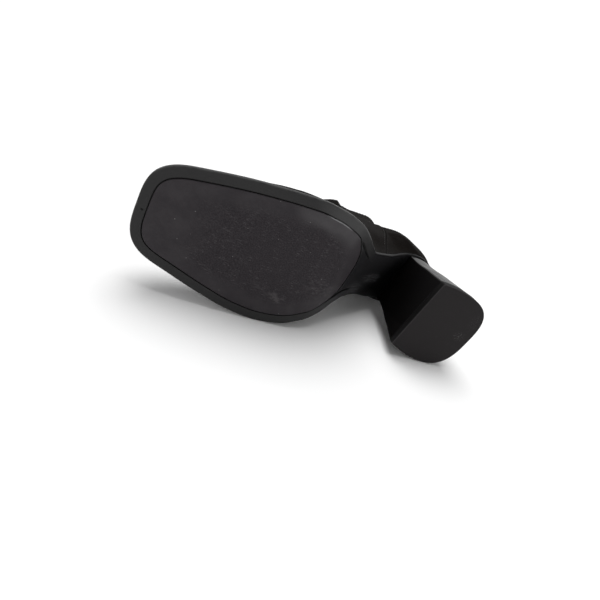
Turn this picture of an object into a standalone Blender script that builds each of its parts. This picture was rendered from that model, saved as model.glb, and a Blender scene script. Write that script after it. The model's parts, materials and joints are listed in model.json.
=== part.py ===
"""A left block heel ankle boot, lying on its inner side.

Every piece is worked out in the boot's own standing frame, in millimetres: x runs from the back of the
heel to the toe, y to the outer side, z up from the ground. An empty then lays the boot on its inner side.
"""
import math

import bmesh
import bpy
import numpy as np
from mathutils import Matrix, Vector

# Sizes of the whole boot, in millimetres
MM = 0.001
GAP = 0.4
SEAT_GAP = 0.6
INSOLE_GAP = 0.5
LENGTH = 251.4
SOLE_REAR = 3.0
TOE_ROUND_FROM = 225.0
TOE_POWER = 3.5
TOE_CENTRE_Y = -5.0
SEAT_ROUND_FROM = 32.0
SEAT_POWER = 2.25
SEAT_CENTRE_Y = 1.0

# Sizes of the sole, in millimetres
PANEL_PROUD = 0.4
PANEL_DEPTH = 2.2
PANEL_EDGE = 0.56
RIM_WIDTH = 6.2
GROOVE_WIDTH = 0.9
PANEL_REAR_LATERAL = 120.0
PANEL_REAR_MEDIAL = 119.3
EDGE_ROUND = 0.8
EDGE_CHORD = 0.24
TOP_EDGE = 0.48
INSOLE_THICK = 2.0
INSOLE_SPARE = 1.6

# How finely the sole is drawn
SIDE_SAMPLES = 160
END_SAMPLES = 60
OUTSOLE_ROWS = 46
PANEL_ROWS = 20
INSOLE_ROWS = 46
OUTSOLE_COLUMNS_ACROSS = 11
PANEL_COLUMNS_ACROSS = 15
INSOLE_COLUMNS_ACROSS = 5
WELD = 0.02

# Sizes of the heel, in its own frame, in millimetres
HEEL_TURN = 5.9
HEEL_CENTRE_X = 27.0
TOP_PIECE_HEIGHT = 5.0
HEEL_BASE = {"rear": 0.0, "breast": 53.5, "breast_half": 29.0, "half": 31.4, "widest": 33.0}
HEEL_SEAT = {"rear": 4.2, "breast": 44.6, "breast_half": 24.1, "half": 26.0, "widest": 28.0}
HEEL_POWER = 2.8
HEEL_FLARE = 1.25
HEEL_CORNER = 1.6
HEEL_CORNER_CHORD = 0.48
HEEL_ARC_STEPS = 14
HEEL_SIDE_STEPS = 4
HEEL_RINGS = 7

# Sizes of the upper, in millimetres
WALL = 1.8
TOE_EDGE_START = 208.0
LOWER_STEPS = 4
LOWER_EASE = 1.3
CROWN_STEPS = 9
ROWS_BETWEEN = 2
SHAFT_FROM = 0.75
FLOOR_ROUNDS = 30

# Plan of the sole: outer and inner edge at stations from the heel to the toe
OUTLINE_COLUMNS = ("x", "lateral", "medial", "margin")
OUTLINE = (
    (0.0, 26.2, -23.8, 0.6),
    (32.0, 26.8, -23.6, 0.6),
    (50.0, 24.8, -21.4, 0.7),
    (70.0, 22.0, -18.0, 0.9),
    (90.0, 21.8, -15.0, 1.2),
    (100.0, 25.9, -16.0, 1.6),
    (108.0, 31.6, -21.0, 2.0),
    (115.0, 36.6, -28.4, 2.4),
    (122.0, 40.3, -33.8, 2.6),
    (130.0, 42.6, -38.2, 2.8),
    (140.0, 44.2, -42.8, 3.0),
    (150.0, 44.4, -45.8, 3.0),
    (165.0, 42.6, -47.7, 3.0),
    (180.0, 40.0, -46.9, 3.0),
    (200.0, 35.6, -43.6, 3.0),
    (225.0, 28.4, -38.5, 3.0),
    (251.4, 19.8, -33.6, 3.0),
)

# Rear edge of the forepart panel between its outer and its inner groove
PANEL_REAR_COLUMNS = ("x", "y")
PANEL_REAR = (
    (116.4, 27.4),
    (113.4, 23.7),
    (111.3, 19.2),
    (109.9, 13.8),
    (109.3, 7.0),
    (109.5, 0.8),
    (110.0, -5.0),
    (111.2, -10.4),
    (114.2, -15.8),
)

# Side view of the sole: ground side of the rim and thickness of the rubber, upright
SOLE_COLUMNS = ("x", "under", "thick")
SOLE_LINE = (
    (0.0, 77.2, 2.6),
    (30.0, 72.8, 2.6),
    (45.0, 68.4, 2.8),
    (54.0, 62.0, 3.2),
    (70.0, 48.6, 3.4),
    (90.0, 32.2, 3.4),
    (104.0, 19.8, 3.8),
    (117.0, 9.2, 4.0),
    (128.0, 3.4, 4.0),
    (143.0, 0.4, 4.0),
    (177.0, 0.4, 4.0),
    (200.0, 1.5, 4.0),
    (225.0, 4.1, 4.0),
    (251.4, 8.0, 4.0),
)

# Sections of the upper from toe to collar. Each lies in the plane through its base and its top and is
# open below where the base is on the sole (no base_z) and closed behind where it is on the back line.
# The wall leaves its base (stand 1 upright, 0.5 rounded), is widest at belly of its reach, then crowns over.
SECTION_COLUMNS = (
    "base_x", "base_z", "top_x", "top_z", "ridge", "lateral", "medial", "belly", "crown", "stand")
SECTIONS = (
    (206.0, None, 247.4, 19.0, -5.5, 29.5, -38.2, 0.12, 2.8, 1.0),
    (204.0, None, 243.0, 27.0, -5.5, 29.6, -38.6, 0.14, 2.6, 1.0),
    (201.0, None, 233.0, 33.5, -5.0, 30.3, -39.4, 0.17, 2.4, 1.0),
    (196.0, None, 217.0, 39.5, -4.5, 31.7, -40.8, 0.20, 2.2, 1.0),
    (187.0, None, 199.0, 45.0, -4.0, 34.8, -42.6, 0.22, 2.1, 1.0),
    (172.0, None, 182.0, 50.5, -3.0, 37.8, -44.0, 0.24, 2.1, 1.0),
    (155.0, None, 166.0, 57.0, -2.5, 40.4, -44.0, 0.25, 2.05, 1.0),
    (138.0, None, 152.5, 65.0, -2.0, 40.6, -40.0, 0.27, 2.0, 1.0),
    (120.0, None, 141.0, 75.0, -2.0, 37.6, -32.4, 0.30, 2.0, 1.0),
    (104.0, None, 131.5, 86.5, -2.0, 33.4, -27.0, 0.33, 2.0, 1.0),
    (88.0, None, 123.5, 98.5, -2.5, 30.6, -25.8, 0.35, 2.0, 1.0),
    (70.0, None, 117.0, 110.0, -3.0, 29.8, -26.6, 0.36, 2.05, 1.0),
    (50.0, None, 112.5, 121.0, -3.5, 30.0, -28.4, 0.36, 2.1, 1.0),
    (40.0, None, 110.9, 125.3, -3.8, 29.8, -29.0, 0.34, 2.0, 1.0),
    (30.0, None, 109.5, 129.5, -4.0, 30.2, -29.6, 0.30, 1.9, 0.9),
    (14.0, None, 108.0, 136.0, -4.5, 29.8, -30.2, 0.30, 1.9, 0.7),
    (6.0, None, 107.5, 141.0, -5.0, 28.8, -30.6, 0.31, 1.9, 0.55),
    (0.6, 86.0, 107.5, 145.5, -5.0, 27.2, -31.0, 0.33, 1.95, 0.5),
    (-1.2, 99.0, 108.0, 150.0, -5.4, 25.2, -31.4, 0.37, 2.1, 0.5),
    (0.2, 113.0, 108.6, 155.0, -6.2, 23.2, -31.8, 0.42, 2.4, 0.5),
    (3.0, 129.0, 109.4, 160.5, -7.0, 21.6, -32.2, 0.44, 2.7, 0.5),
    (5.0, 145.0, 110.2, 166.5, -8.0, 20.2, -32.8, 0.45, 3.0, 0.5),
    (5.8, 160.0, 111.0, 172.5, -8.6, 19.4, -33.4, 0.46, 3.2, 0.5),
    (5.6, 173.0, 111.6, 178.0, -9.0, 18.6, -34.0, 0.46, 3.3, 0.5),
)

# Folds of the slack shaft on its outer side: where they stand, how far they run, how far they stand out
FOLD_COLUMNS = ("x", "z", "long", "tall", "height")
FOLDS = (
    (49.0, 168.0, 9.0, 28.0, 3.2),
    (33.0, 150.0, 8.0, 40.0, -4.6),
    (87.0, 172.0, 9.0, 24.0, 3.4),
    (71.0, 160.0, 6.0, 22.0, -1.2),
)

# Finishes
FINISHES = {
    "outsole": ((0.030, 0.031, 0.032), 0.55),
    "tread_panel": ((0.042, 0.040, 0.041), 0.75),
    "heel_block": ((0.020, 0.019, 0.019), 0.30),
    "heel_top_piece": ((0.030, 0.028, 0.028), 0.70),
    "upper": ((0.022, 0.018, 0.016), 0.42),
    "insole": ((0.090, 0.072, 0.058), 0.80),
}


# Curves through tables

def column(table, names, name):
    """One named column of a table."""
    return np.array([row[names.index(name)] for row in table], dtype=float)


def through(xs, ys, x):
    """Smooth curve through the points that never overshoots them: cubic pieces with limited slopes."""
    step = np.diff(xs)
    rise = np.diff(ys) / step
    slope = np.zeros(len(xs))
    both = rise[:-1] * rise[1:] > 0
    weight_a = 2 * step[1:] + step[:-1]
    weight_b = step[1:] + 2 * step[:-1]
    safe_a = np.where(both, rise[:-1], 1.0)
    safe_b = np.where(both, rise[1:], 1.0)
    mean = (weight_a + weight_b) / (weight_a / safe_a + weight_b / safe_b)
    slope[1:-1] = np.where(both, mean, 0.0)
    slope[0] = rise[0]
    slope[-1] = rise[-1]
    x = np.clip(np.asarray(x, dtype=float), xs[0], xs[-1])
    i = np.clip(np.searchsorted(xs, x, side="right") - 1, 0, len(xs) - 2)
    t = (x - xs[i]) / step[i]
    a = (1 + 2 * t) * (1 - t) ** 2
    b = t * (1 - t) ** 2
    c = t * t * (3 - 2 * t)
    d = t * t * (t - 1)
    return a * ys[i] + b * step[i] * slope[i] + c * ys[i + 1] + d * step[i] * slope[i + 1]


def outline_value(name, x):
    """A column of the sole's plan at x."""
    return through(column(OUTLINE, OUTLINE_COLUMNS, "x"), column(OUTLINE, OUTLINE_COLUMNS, name), x)


def sole_under(x):
    """Height of the rim's ground side at x."""
    return through(column(SOLE_LINE, SOLE_COLUMNS, "x"), column(SOLE_LINE, SOLE_COLUMNS, "under"), x)


def sole_top(x):
    """Height of the sole's upper face at x, where the upper and the insole sit."""
    thick = through(column(SOLE_LINE, SOLE_COLUMNS, "x"), column(SOLE_LINE, SOLE_COLUMNS, "thick"), x)
    return sole_under(x) + thick


# The sole's plan

def sole_sides():
    """Outer and inner edge of the sole from the rear tip to the toe tip, with the rounded ends drawn in."""
    angle = np.linspace(0.0, math.pi / 2, END_SAMPLES)
    seat_reach = np.sin(angle[::-1]) ** (2 / SEAT_POWER)
    seat_x = SEAT_ROUND_FROM - (SEAT_ROUND_FROM - SOLE_REAR) * seat_reach
    seat_width = np.cos(angle[::-1]) ** (2 / SEAT_POWER)
    toe_x = TOE_ROUND_FROM + (LENGTH - TOE_ROUND_FROM) * np.sin(angle) ** (2 / TOE_POWER)
    toe_width = np.cos(angle) ** (2 / TOE_POWER)
    mid_x = np.linspace(SEAT_ROUND_FROM, TOE_ROUND_FROM, SIDE_SAMPLES)[1:-1]
    x = np.concatenate([seat_x, mid_x, toe_x])
    width = np.concatenate([seat_width, np.ones(len(mid_x)), toe_width])
    centre = np.where(x < TOE_ROUND_FROM, SEAT_CENTRE_Y, TOE_CENTRE_Y)
    sides = []
    for name in ("lateral", "medial"):
        y = centre + (outline_value(name, x) - centre) * np.clip(width, 0.0, 1.0)
        sides.append(np.stack([x, y], axis=1))
    return sides


def inset_sides(distance):
    """The sole's two edges moved inwards by a distance, given for each x or as one number."""
    lateral, medial = sole_sides()
    loop = np.concatenate([lateral, medial[::-1][1:-1]])
    along = np.roll(loop, -1, axis=0) - np.roll(loop, 1, axis=0)
    along /= np.linalg.norm(along, axis=1)[:, None]
    inward = np.stack([along[:, 1], -along[:, 0]], axis=1)
    reach = distance(loop[:, 0]) if callable(distance) else distance
    moved = loop + inward * np.reshape(reach, (-1, 1))
    count = len(lateral)
    back = np.concatenate([moved[count - 1:], moved[:1]])[::-1]
    return moved[:count], back


def travelled(path):
    """Share of a path's length at each of its points, from 0 to 1."""
    run = np.concatenate([[0.0], np.cumsum(np.linalg.norm(np.diff(path, axis=0), axis=1))])
    return run / run[-1]


def redrawn(path, shares):
    """A path drawn again with points at the given shares of its length."""
    run = travelled(path)
    return np.stack([np.interp(shares, run, path[:, k]) for k in range(path.shape[1])], axis=1)


def evenly(path, count):
    """A path drawn again with points at even spacing."""
    return redrawn(path, np.linspace(0.0, 1.0, count))


def patch(lateral, medial, rear, front):
    """A net of points filling four edges: sides run rear to front, ends run from lateral to medial."""
    s = np.linspace(0.0, 1.0, len(lateral))[:, None, None]
    t = np.linspace(0.0, 1.0, len(rear))[None, :, None]
    across = (1 - t) * lateral[:, None] + t * medial[:, None]
    along = (1 - s) * rear[None] + s * front[None]
    low = (1 - t) * rear[0] + t * rear[-1]
    high = (1 - t) * front[0] + t * front[-1]
    return across + along - ((1 - s) * low + s * high)


def full_patch(distance, rows, columns):
    """The net over the whole sole moved inwards by a distance, split at the middle of its round corners."""
    lateral, medial = inset_sides(distance)
    rear_corner = END_SAMPLES // 2
    toe_corner = len(lateral) - END_SAMPLES // 2
    rear = np.concatenate([lateral[:rear_corner + 1][::-1], medial[1:rear_corner + 1]])
    front = np.concatenate([lateral[toe_corner:], medial[toe_corner:-1][::-1]])
    return patch(
        evenly(lateral[rear_corner:toe_corner + 1], rows), evenly(medial[rear_corner:toe_corner + 1], rows),
        evenly(rear, columns), evenly(front, columns))


def panel_patch(distance, spread, rows, columns):
    """The net over the forepart panel: the sole's edges moved inwards, the rear edge spread to the rear."""
    lateral, medial = inset_sides(distance)
    toe_corner = len(lateral) - END_SAMPLES // 2
    sides = []
    for path, start in ((lateral, PANEL_REAR_LATERAL), (medial, PANEL_REAR_MEDIAL)):
        part = path[:toe_corner + 1]
        first = np.array([[start, np.interp(start, part[:, 0], part[:, 1])]])
        sides.append(np.concatenate([first, part[part[:, 0] > start]]))
    rear = np.stack([column(PANEL_REAR, PANEL_REAR_COLUMNS, name) for name in PANEL_REAR_COLUMNS], axis=1)
    rear = np.concatenate([sides[0][:1], rear, sides[1][:1]])
    along = np.gradient(rear, axis=0)
    along /= np.linalg.norm(along, axis=1)[:, None]
    rear[1:-1] += spread * np.stack([along[1:-1, 1], -along[1:-1, 0]], axis=1)
    shares = np.linspace(0.0, 1.0, columns)
    rear = np.stack([through(travelled(rear), rear[:, k], shares) for k in range(2)], axis=1)
    front = np.concatenate([lateral[toe_corner:], medial[toe_corner:-1][::-1]])
    return patch(evenly(sides[0], rows), evenly(sides[1], rows), rear, evenly(front, columns))


# Solids

def grid_faces(rows, columns, start=0, flip=False):
    """Quads over a net of points."""
    faces = []
    for i in range(rows - 1):
        for j in range(columns - 1):
            a = start + i * columns + j
            quad = (a, a + 1, a + columns + 1, a + columns)
            faces.append(quad[::-1] if flip else quad)
    return faces


def plate(net, rings, cap_low, cap_high):
    """A plate over a net: its rim follows rings of (inset, height function), its faces two heights."""
    rows, columns = net.shape[:2]
    index = np.arange(rows * columns).reshape(rows, columns)
    border = np.concatenate([index[:-1, 0], index[-1, :-1], index[1:, -1][::-1], index[0, 1:][::-1]])
    flat = net.reshape(-1, 2)
    loop = flat[border]
    along = np.roll(loop, -1, axis=0) - np.roll(loop, 1, axis=0)
    along /= np.linalg.norm(along, axis=1)[:, None]
    inward = np.stack([along[:, 1], -along[:, 0]], axis=1)
    points = []
    faces = []
    for inset, height, cap in ((rings[0][0], cap_low, False), (rings[-1][0], cap_high, True)):
        face = flat.copy()
        face[border] = loop + inward * inset
        faces += grid_faces(rows, columns, sum(len(p) for p in points), cap)
        points.append(np.column_stack([face, height(flat[:, 0])]))
    low_border = border
    high_border = border + rows * columns
    count = 2 * rows * columns
    previous = low_border
    for inset, height in rings[1:-1]:
        ring = loop + inward * inset
        points.append(np.column_stack([ring, height(loop[:, 0])]))
        current = np.arange(count, count + len(border))
        count += len(border)
        faces += band(previous, current)
        previous = current
    faces += band(previous, high_border)
    return np.concatenate(points), faces


def band(first, second):
    """Quads between two closed rings of the same count."""
    return [(first[k - 1], first[k], second[k], second[k - 1]) for k in range(len(first))]


def add_piece(name, points, faces, group, parent):
    """A mesh object with its own finish, hung on the empty that lays the boot down."""
    mesh = bpy.data.meshes.new(name)
    mesh.from_pydata((np.asarray(points) * MM).tolist(), [], [tuple(int(k) for k in face) for face in faces])
    work = bmesh.new()
    work.from_mesh(mesh)
    bmesh.ops.remove_doubles(work, verts=work.verts, dist=WELD * MM)
    bmesh.ops.recalc_face_normals(work, faces=work.faces)
    work.to_mesh(mesh)
    work.free()
    piece = bpy.data.objects.new(name, mesh)
    group.objects.link(piece)
    piece.parent = parent
    if name in FINISHES:
        colour, rough = FINISHES[name]
        material = bpy.data.materials.new(name)
        material.use_nodes = True
        shader = material.node_tree.nodes["Principled BSDF"]
        shader.inputs["Base Color"].default_value = (*colour, 1.0)
        shader.inputs["Roughness"].default_value = rough
        mesh.materials.append(material)
    return piece


# The heel

def heel_half(size):
    """Half of a heel section in its own frame, from the breast round its corner to the rear."""
    corner_y = size["breast_half"]
    breast = size["breast"]
    points = [(breast, corner_y - HEEL_CORNER)]
    points.append((breast - HEEL_CORNER_CHORD, corner_y - HEEL_CORNER_CHORD))
    for t in np.linspace(0.0, 1.0, HEEL_SIDE_STEPS + 1)[:-1]:
        x = breast - HEEL_CORNER + (size["widest"] - breast + HEEL_CORNER) * t
        points.append((x, corner_y + (size["half"] - corner_y) * math.sin(t * math.pi / 2)))
    reach = size["widest"] - size["rear"]
    for angle in np.linspace(0.0, math.pi / 2, HEEL_ARC_STEPS + 1):
        x = size["widest"] - reach * math.sin(angle) ** (2 / HEEL_POWER)
        points.append((x, size["half"] * max(math.cos(angle), 0.0) ** (2 / HEEL_POWER)))
    return np.array(points)


def heel_ring(lift, inset=0.0):
    """Closed section of the heel at lift from 0 on the ground to 1 at the seat, turned to the boot's axis."""
    share = (1.0 - lift) ** HEEL_FLARE
    size = {key: HEEL_SEAT[key] + (HEEL_BASE[key] - HEEL_SEAT[key]) * share for key in HEEL_BASE}
    half = heel_half(size)
    centre = np.array([(size["breast"] + size["rear"]) / 2, 0.0])
    scale = 1.0 - inset / np.array([(size["breast"] - size["rear"]) / 2, size["half"]])
    half = centre + (half - centre) * scale
    ring = np.concatenate([half, (half * (1.0, -1.0))[::-1][1:]])
    turn = math.radians(HEEL_TURN)
    spin = np.array([[math.cos(turn), math.sin(turn)], [-math.sin(turn), math.cos(turn)]])
    middle = np.array([HEEL_CENTRE_X, 0.0])
    return (ring - middle) @ spin + middle


def ring_caps(count, first, last):
    """Strips closing the first and the last of a stack of rings, each strip from one side to the other."""
    faces = []
    for start, flip in ((first, False), (last, True)):
        for k in range(count // 2):
            quad = (start + k, start + k + 1, start + count - k - 2, start + count - k - 1)
            quad = tuple(dict.fromkeys(quad))
            faces.append(quad[::-1] if flip else quad)
    return faces


def stack(rings):
    """A solid through a stack of closed rings."""
    count = len(rings[0])
    faces = ring_caps(count, 0, count * (len(rings) - 1))
    for k in range(len(rings) - 1):
        faces += band(np.arange(count) + k * count, np.arange(count) + (k + 1) * count)
    return np.concatenate(rings), faces


def top_piece_solid():
    """The wearing layer under the heel, its ground edge rounded."""
    rings = []
    steps = ((EDGE_ROUND, 0.0), (EDGE_CHORD, EDGE_CHORD), (0.0, EDGE_ROUND), (0.0, TOP_PIECE_HEIGHT))
    for inset, z in steps:
        ring = heel_ring(0.0, inset)
        rings.append(np.column_stack([ring, np.full(len(ring), z)]))
    return stack(rings)


def heel_solid():
    """The block from the wearing layer up to the seat, drawn in as it rises."""
    rings = []
    floor = TOP_PIECE_HEIGHT + GAP
    for lift in np.linspace(0.0, 1.0, HEEL_RINGS):
        ring = heel_ring(lift)
        seat = heel_ring(1.0)
        ceiling = sole_under(seat[:, 0]) - SEAT_GAP
        rings.append(np.column_stack([ring, floor + (ceiling - floor) * lift]))
    return stack(rings)


# The upper

def section_value(name, row):
    """A named value of one section."""
    return row[SECTION_COLUMNS.index(name)]


FEATHER = dict(zip((1, -1), inset_sides(lambda at: outline_value("margin", at))))


def feather(side, x):
    """Edge of the upper on the sole's top at x: the sole's edge less its margin, outer side 1 or inner -1."""
    path = FEATHER[side]
    order = np.argsort(path[:, 0])
    return np.interp(x, path[order, 0], path[order, 1])


def half_section(row, side):
    """One side of a section, from its base to its ridge. On the sole its foot follows the feather edge."""
    base_x = section_value("base_x", row)
    on_sole = section_value("base_z", row) is None
    base_z = sole_top(base_x) + GAP if on_sole else section_value("base_z", row)
    ridge = section_value("ridge", row)
    widest = section_value("lateral" if side > 0 else "medial", row)
    belly = section_value("belly", row)
    power = 2.0 / section_value("crown", row)
    low = np.linspace(0.0, 1.0, LOWER_STEPS + 1)[:-1] ** LOWER_EASE
    angle = np.linspace(0.0, math.pi / 2, CROWN_STEPS + 1)
    reach = np.concatenate([belly * low, belly + (1 - belly) * np.sin(angle) ** power])
    base = np.array([base_x, base_z])
    top = np.array([section_value("top_x", row), section_value("top_z", row)])
    plane = base + reach[:, None] * (top - base)
    foot = feather(side, plane[:LOWER_STEPS + 1, 0]) if on_sole else np.full(LOWER_STEPS + 1, ridge)
    lean = widest - foot[-1]
    swell = (1 - (1 - low) ** 2) ** section_value("stand", row)
    upright = low * low * (3 - 2 * low)
    low_y = foot[:-1] + lean * (swell if lean * side > 0 else upright)
    high_y = ridge + (widest - ridge) * np.maximum(np.cos(angle), 0.0) ** power
    return np.column_stack([plane[:, 0], np.concatenate([low_y, high_y]), plane[:, 1]])


def toe_edge(side):
    """The first half section: the upper's edge on the sole round the toe."""
    path = FEATHER[side]
    first = np.array([[TOE_EDGE_START, feather(side, TOE_EDGE_START)]])
    path = np.concatenate([first, path[path[:, 0] > TOE_EDGE_START]])
    path = redrawn(path, travelled(half_section(SECTIONS[0], side)))
    return np.column_stack([path, sole_top(path[:, 0]) + GAP])


def folds(points):
    """The slack folds of the outer side, as soft ridges and troughs pushed outwards or inwards."""
    half = points.shape[1] // 2
    side = points[:, :half + 1]
    ridge = side[:, -1:, 1]
    share = np.clip((side[..., 1] - ridge) / (side[..., 1].max(axis=1, keepdims=True) - ridge), 0.0, 1.0)
    lift = np.zeros(share.shape)
    for row in FOLDS:
        fold = dict(zip(FOLD_COLUMNS, row))
        along = (side[..., 0] - fold["x"]) / fold["long"]
        upward = (side[..., 2] - fold["z"]) / fold["tall"]
        lift += fold["height"] * np.exp(-along ** 2 - upward ** 2)
    moved = points.copy()
    moved[:, :half + 1, 1] += lift * np.sqrt(share)
    return moved


def upper_net():
    """Outer face of the upper: rows from toe to collar, columns from outer edge over to inner edge."""
    keys = [np.concatenate([toe_edge(1), toe_edge(-1)[::-1][1:]])]
    for row in SECTIONS:
        keys.append(np.concatenate([half_section(row, 1), half_section(row, -1)[::-1][1:]]))
    keys = np.array(keys)
    at = np.arange(len(keys), dtype=float)
    fine = np.linspace(0.0, len(keys) - 1, (len(keys) - 1) * ROWS_BETWEEN + 1)
    shape = keys.shape
    flat = keys.reshape(shape[0], -1)
    net = np.stack([through(at, flat[:, k], fine) for k in range(flat.shape[1])], axis=1)
    net = net.reshape(len(fine), shape[1], 3)
    closed = fine >= 1 + min(k for k, row in enumerate(SECTIONS) if section_value("base_z", row) is not None)
    seam = (net[closed, 0] + net[closed, -1]) / 2
    net[closed, 0] = seam
    net[closed, -1] = seam
    for edge, side in ((0, 1), (-1, -1)):
        on_sole = net[~closed, edge]
        on_sole[:, 1] = feather(side, on_sole[:, 0])
        on_sole[:, 2] = sole_top(on_sole[:, 0]) + GAP
        net[~closed, edge] = on_sole
    return folds(net)


# The boot laid on its inner side

def floor_frame(supports):
    """The plane under three supports of the lying boot: up direction and the matrix that lays it down."""
    up = np.array([0.0, 1.0, 0.0])
    for _ in range(FLOOR_ROUNDS):
        feet = [cloud[np.argmin(cloud @ up)] for cloud in supports]
        normal = np.cross(feet[1] - feet[0], feet[2] - feet[0])
        normal /= np.linalg.norm(normal)
        up = normal if normal[1] > 0 else -normal
    leg = np.array([0.0, 0.0, 1.0])
    leg -= up * (leg @ up)
    leg /= np.linalg.norm(leg)
    return np.array([np.cross(leg, up), leg, up])


# The parts

def above(height, rise):
    """A height function raised by a distance."""
    return lambda x: height(x) + rise


def add_outsole(group, parent):
    """The rubber sole with a rounded ground edge, and the pocket of its forepart panel cut from below."""
    net = full_patch(0.0, OUTSOLE_ROWS, OUTSOLE_COLUMNS_ACROSS)
    rings = (
        (EDGE_ROUND, sole_under),
        (EDGE_CHORD, above(sole_under, EDGE_CHORD)),
        (0.0, above(sole_under, EDGE_ROUND)),
        (0.0, above(sole_top, -TOP_EDGE)),
        (TOP_EDGE, sole_top),
    )
    points, faces = plate(net, rings, sole_under, sole_top)
    return add_piece("outsole", points, faces, group, parent), points


def cut_pocket(outsole, group, parent):
    """The pocket that the forepart panel sits in, cut from the sole with a groove left round the panel."""
    low = above(sole_under, -PANEL_DEPTH)
    high = above(sole_under, PANEL_DEPTH)
    net = panel_patch(RIM_WIDTH, GROOVE_WIDTH, PANEL_ROWS, PANEL_COLUMNS_ACROSS)
    points, faces = plate(net, ((0.0, low), (0.0, high)), low, high)
    pocket = add_piece("panel_pocket", points, faces, group, parent)
    pocket.hide_render = True
    pocket.display_type = "WIRE"
    cut = outsole.modifiers.new("pocket", "BOOLEAN")
    cut.operation = "DIFFERENCE"
    cut.solver = "EXACT"
    cut.object = pocket


def add_panel(group, parent):
    """The tread panel, a little proud of the rim so that it takes the ground."""
    low = above(sole_under, -PANEL_PROUD)
    high = above(sole_under, PANEL_DEPTH - GAP)
    net = panel_patch(RIM_WIDTH + GROOVE_WIDTH, 0.0, PANEL_ROWS, PANEL_COLUMNS_ACROSS)
    points, faces = plate(net, ((PANEL_EDGE, low), (0.0, above(low, PANEL_EDGE)), (0.0, high)), low, high)
    add_piece("tread_panel", points, faces, group, parent)


def add_heel(group, parent):
    """The heel block and the wearing layer under it."""
    top_points, top_faces = top_piece_solid()
    add_piece("heel_top_piece", top_points, top_faces, group, parent)
    heel_points, heel_faces = heel_solid()
    add_piece("heel_block", heel_points, heel_faces, group, parent)
    return top_points, heel_points


def add_upper(group, parent):
    """The leather upper: its outer face, given a wall inwards, open at the collar and underneath."""
    net = upper_net()
    rows, columns = net.shape[:2]
    upper = add_piece("upper", net.reshape(-1, 3), grid_faces(rows, columns), group, parent)
    outward = upper.data.polygons[(columns - 1) * (rows // 2)].normal.y > 0
    wall = upper.modifiers.new("wall", "SOLIDIFY")
    wall.thickness = WALL * MM
    wall.offset = -1.0 if outward else 1.0
    wall.use_even_offset = True
    wall.use_quality_normals = True
    return net


def add_insole(group, parent):
    """The insole board inside, clear of the upper's wall."""
    low = above(sole_top, INSOLE_GAP)
    high = above(low, INSOLE_THICK)
    spare = WALL + INSOLE_SPARE
    net = full_patch(lambda x: outline_value("margin", x) + spare, INSOLE_ROWS, INSOLE_COLUMNS_ACROSS)
    points, faces = plate(net, ((0.0, low), (0.0, high)), low, high)
    add_piece("insole", points, faces, group, parent)


def lay_down(rest, sole_points, top_points, heel_points, net):
    """Turns the boot onto its inner side, on the sole's edge, the heel and the shaft."""
    shaft = net[int(len(net) * SHAFT_FROM):].reshape(-1, 3)
    axes = floor_frame((sole_points, top_points, shaft))
    everything = np.concatenate([sole_points, top_points, heel_points, net.reshape(-1, 3)]) @ axes.T
    low = everything.min(axis=0)
    high = everything.max(axis=0)
    centre = np.array([(low[0] + high[0]) / 2, (low[1] + high[1]) / 2, low[2]])
    matrix = Matrix([list(axis) for axis in axes]).to_4x4()
    matrix.translation = Vector((-centre * MM).tolist())
    rest.matrix_world = matrix


def build():
    """Makes every piece and lays the boot down."""
    for item in list(bpy.data.objects):
        bpy.data.objects.remove(item, do_unlink=True)
    boot = bpy.data.collections.new("block_heel_boot")
    cutters = bpy.data.collections.new("cutters")
    bpy.context.scene.collection.children.link(boot)
    bpy.context.scene.collection.children.link(cutters)
    rest = bpy.data.objects.new("lying_rest", None)
    boot.objects.link(rest)
    outsole, sole_points = add_outsole(boot, rest)
    cut_pocket(outsole, cutters, rest)
    add_panel(boot, rest)
    top_points, heel_points = add_heel(boot, rest)
    net = add_upper(boot, rest)
    add_insole(boot, rest)
    lay_down(rest, sole_points, top_points, heel_points, net)


build()
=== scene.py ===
import json
import math

import bmesh
import bpy
import numpy as np
from mathutils import Matrix


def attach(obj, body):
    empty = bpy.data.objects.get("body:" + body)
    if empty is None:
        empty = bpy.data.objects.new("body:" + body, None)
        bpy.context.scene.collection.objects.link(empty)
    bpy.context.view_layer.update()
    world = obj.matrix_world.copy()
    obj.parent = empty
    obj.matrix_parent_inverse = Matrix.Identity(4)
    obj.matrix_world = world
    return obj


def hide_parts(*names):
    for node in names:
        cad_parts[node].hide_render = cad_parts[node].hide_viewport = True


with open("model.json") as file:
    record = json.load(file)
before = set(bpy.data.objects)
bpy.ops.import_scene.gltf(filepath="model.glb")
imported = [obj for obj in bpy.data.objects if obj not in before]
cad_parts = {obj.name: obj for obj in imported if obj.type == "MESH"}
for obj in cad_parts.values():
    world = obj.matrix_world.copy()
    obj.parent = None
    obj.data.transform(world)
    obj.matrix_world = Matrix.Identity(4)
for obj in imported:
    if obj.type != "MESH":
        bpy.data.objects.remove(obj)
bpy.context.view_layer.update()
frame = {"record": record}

# A left block heel ankle boot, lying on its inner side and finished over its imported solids. Its shapes are
# worked out in its own standing frame in millimetres, x from the back of the heel to the toe, y to the outer
# side, z up from the ground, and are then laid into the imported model's frame.

# The insole: a thin board under a leather sock, cut to the last's plan and glued over the lasted upper.
# It lies inside the boot and shows only through the collar. Its plan is the sole's plan moved inwards,
# so the plan and the side view of the sole are set down here first.

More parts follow.
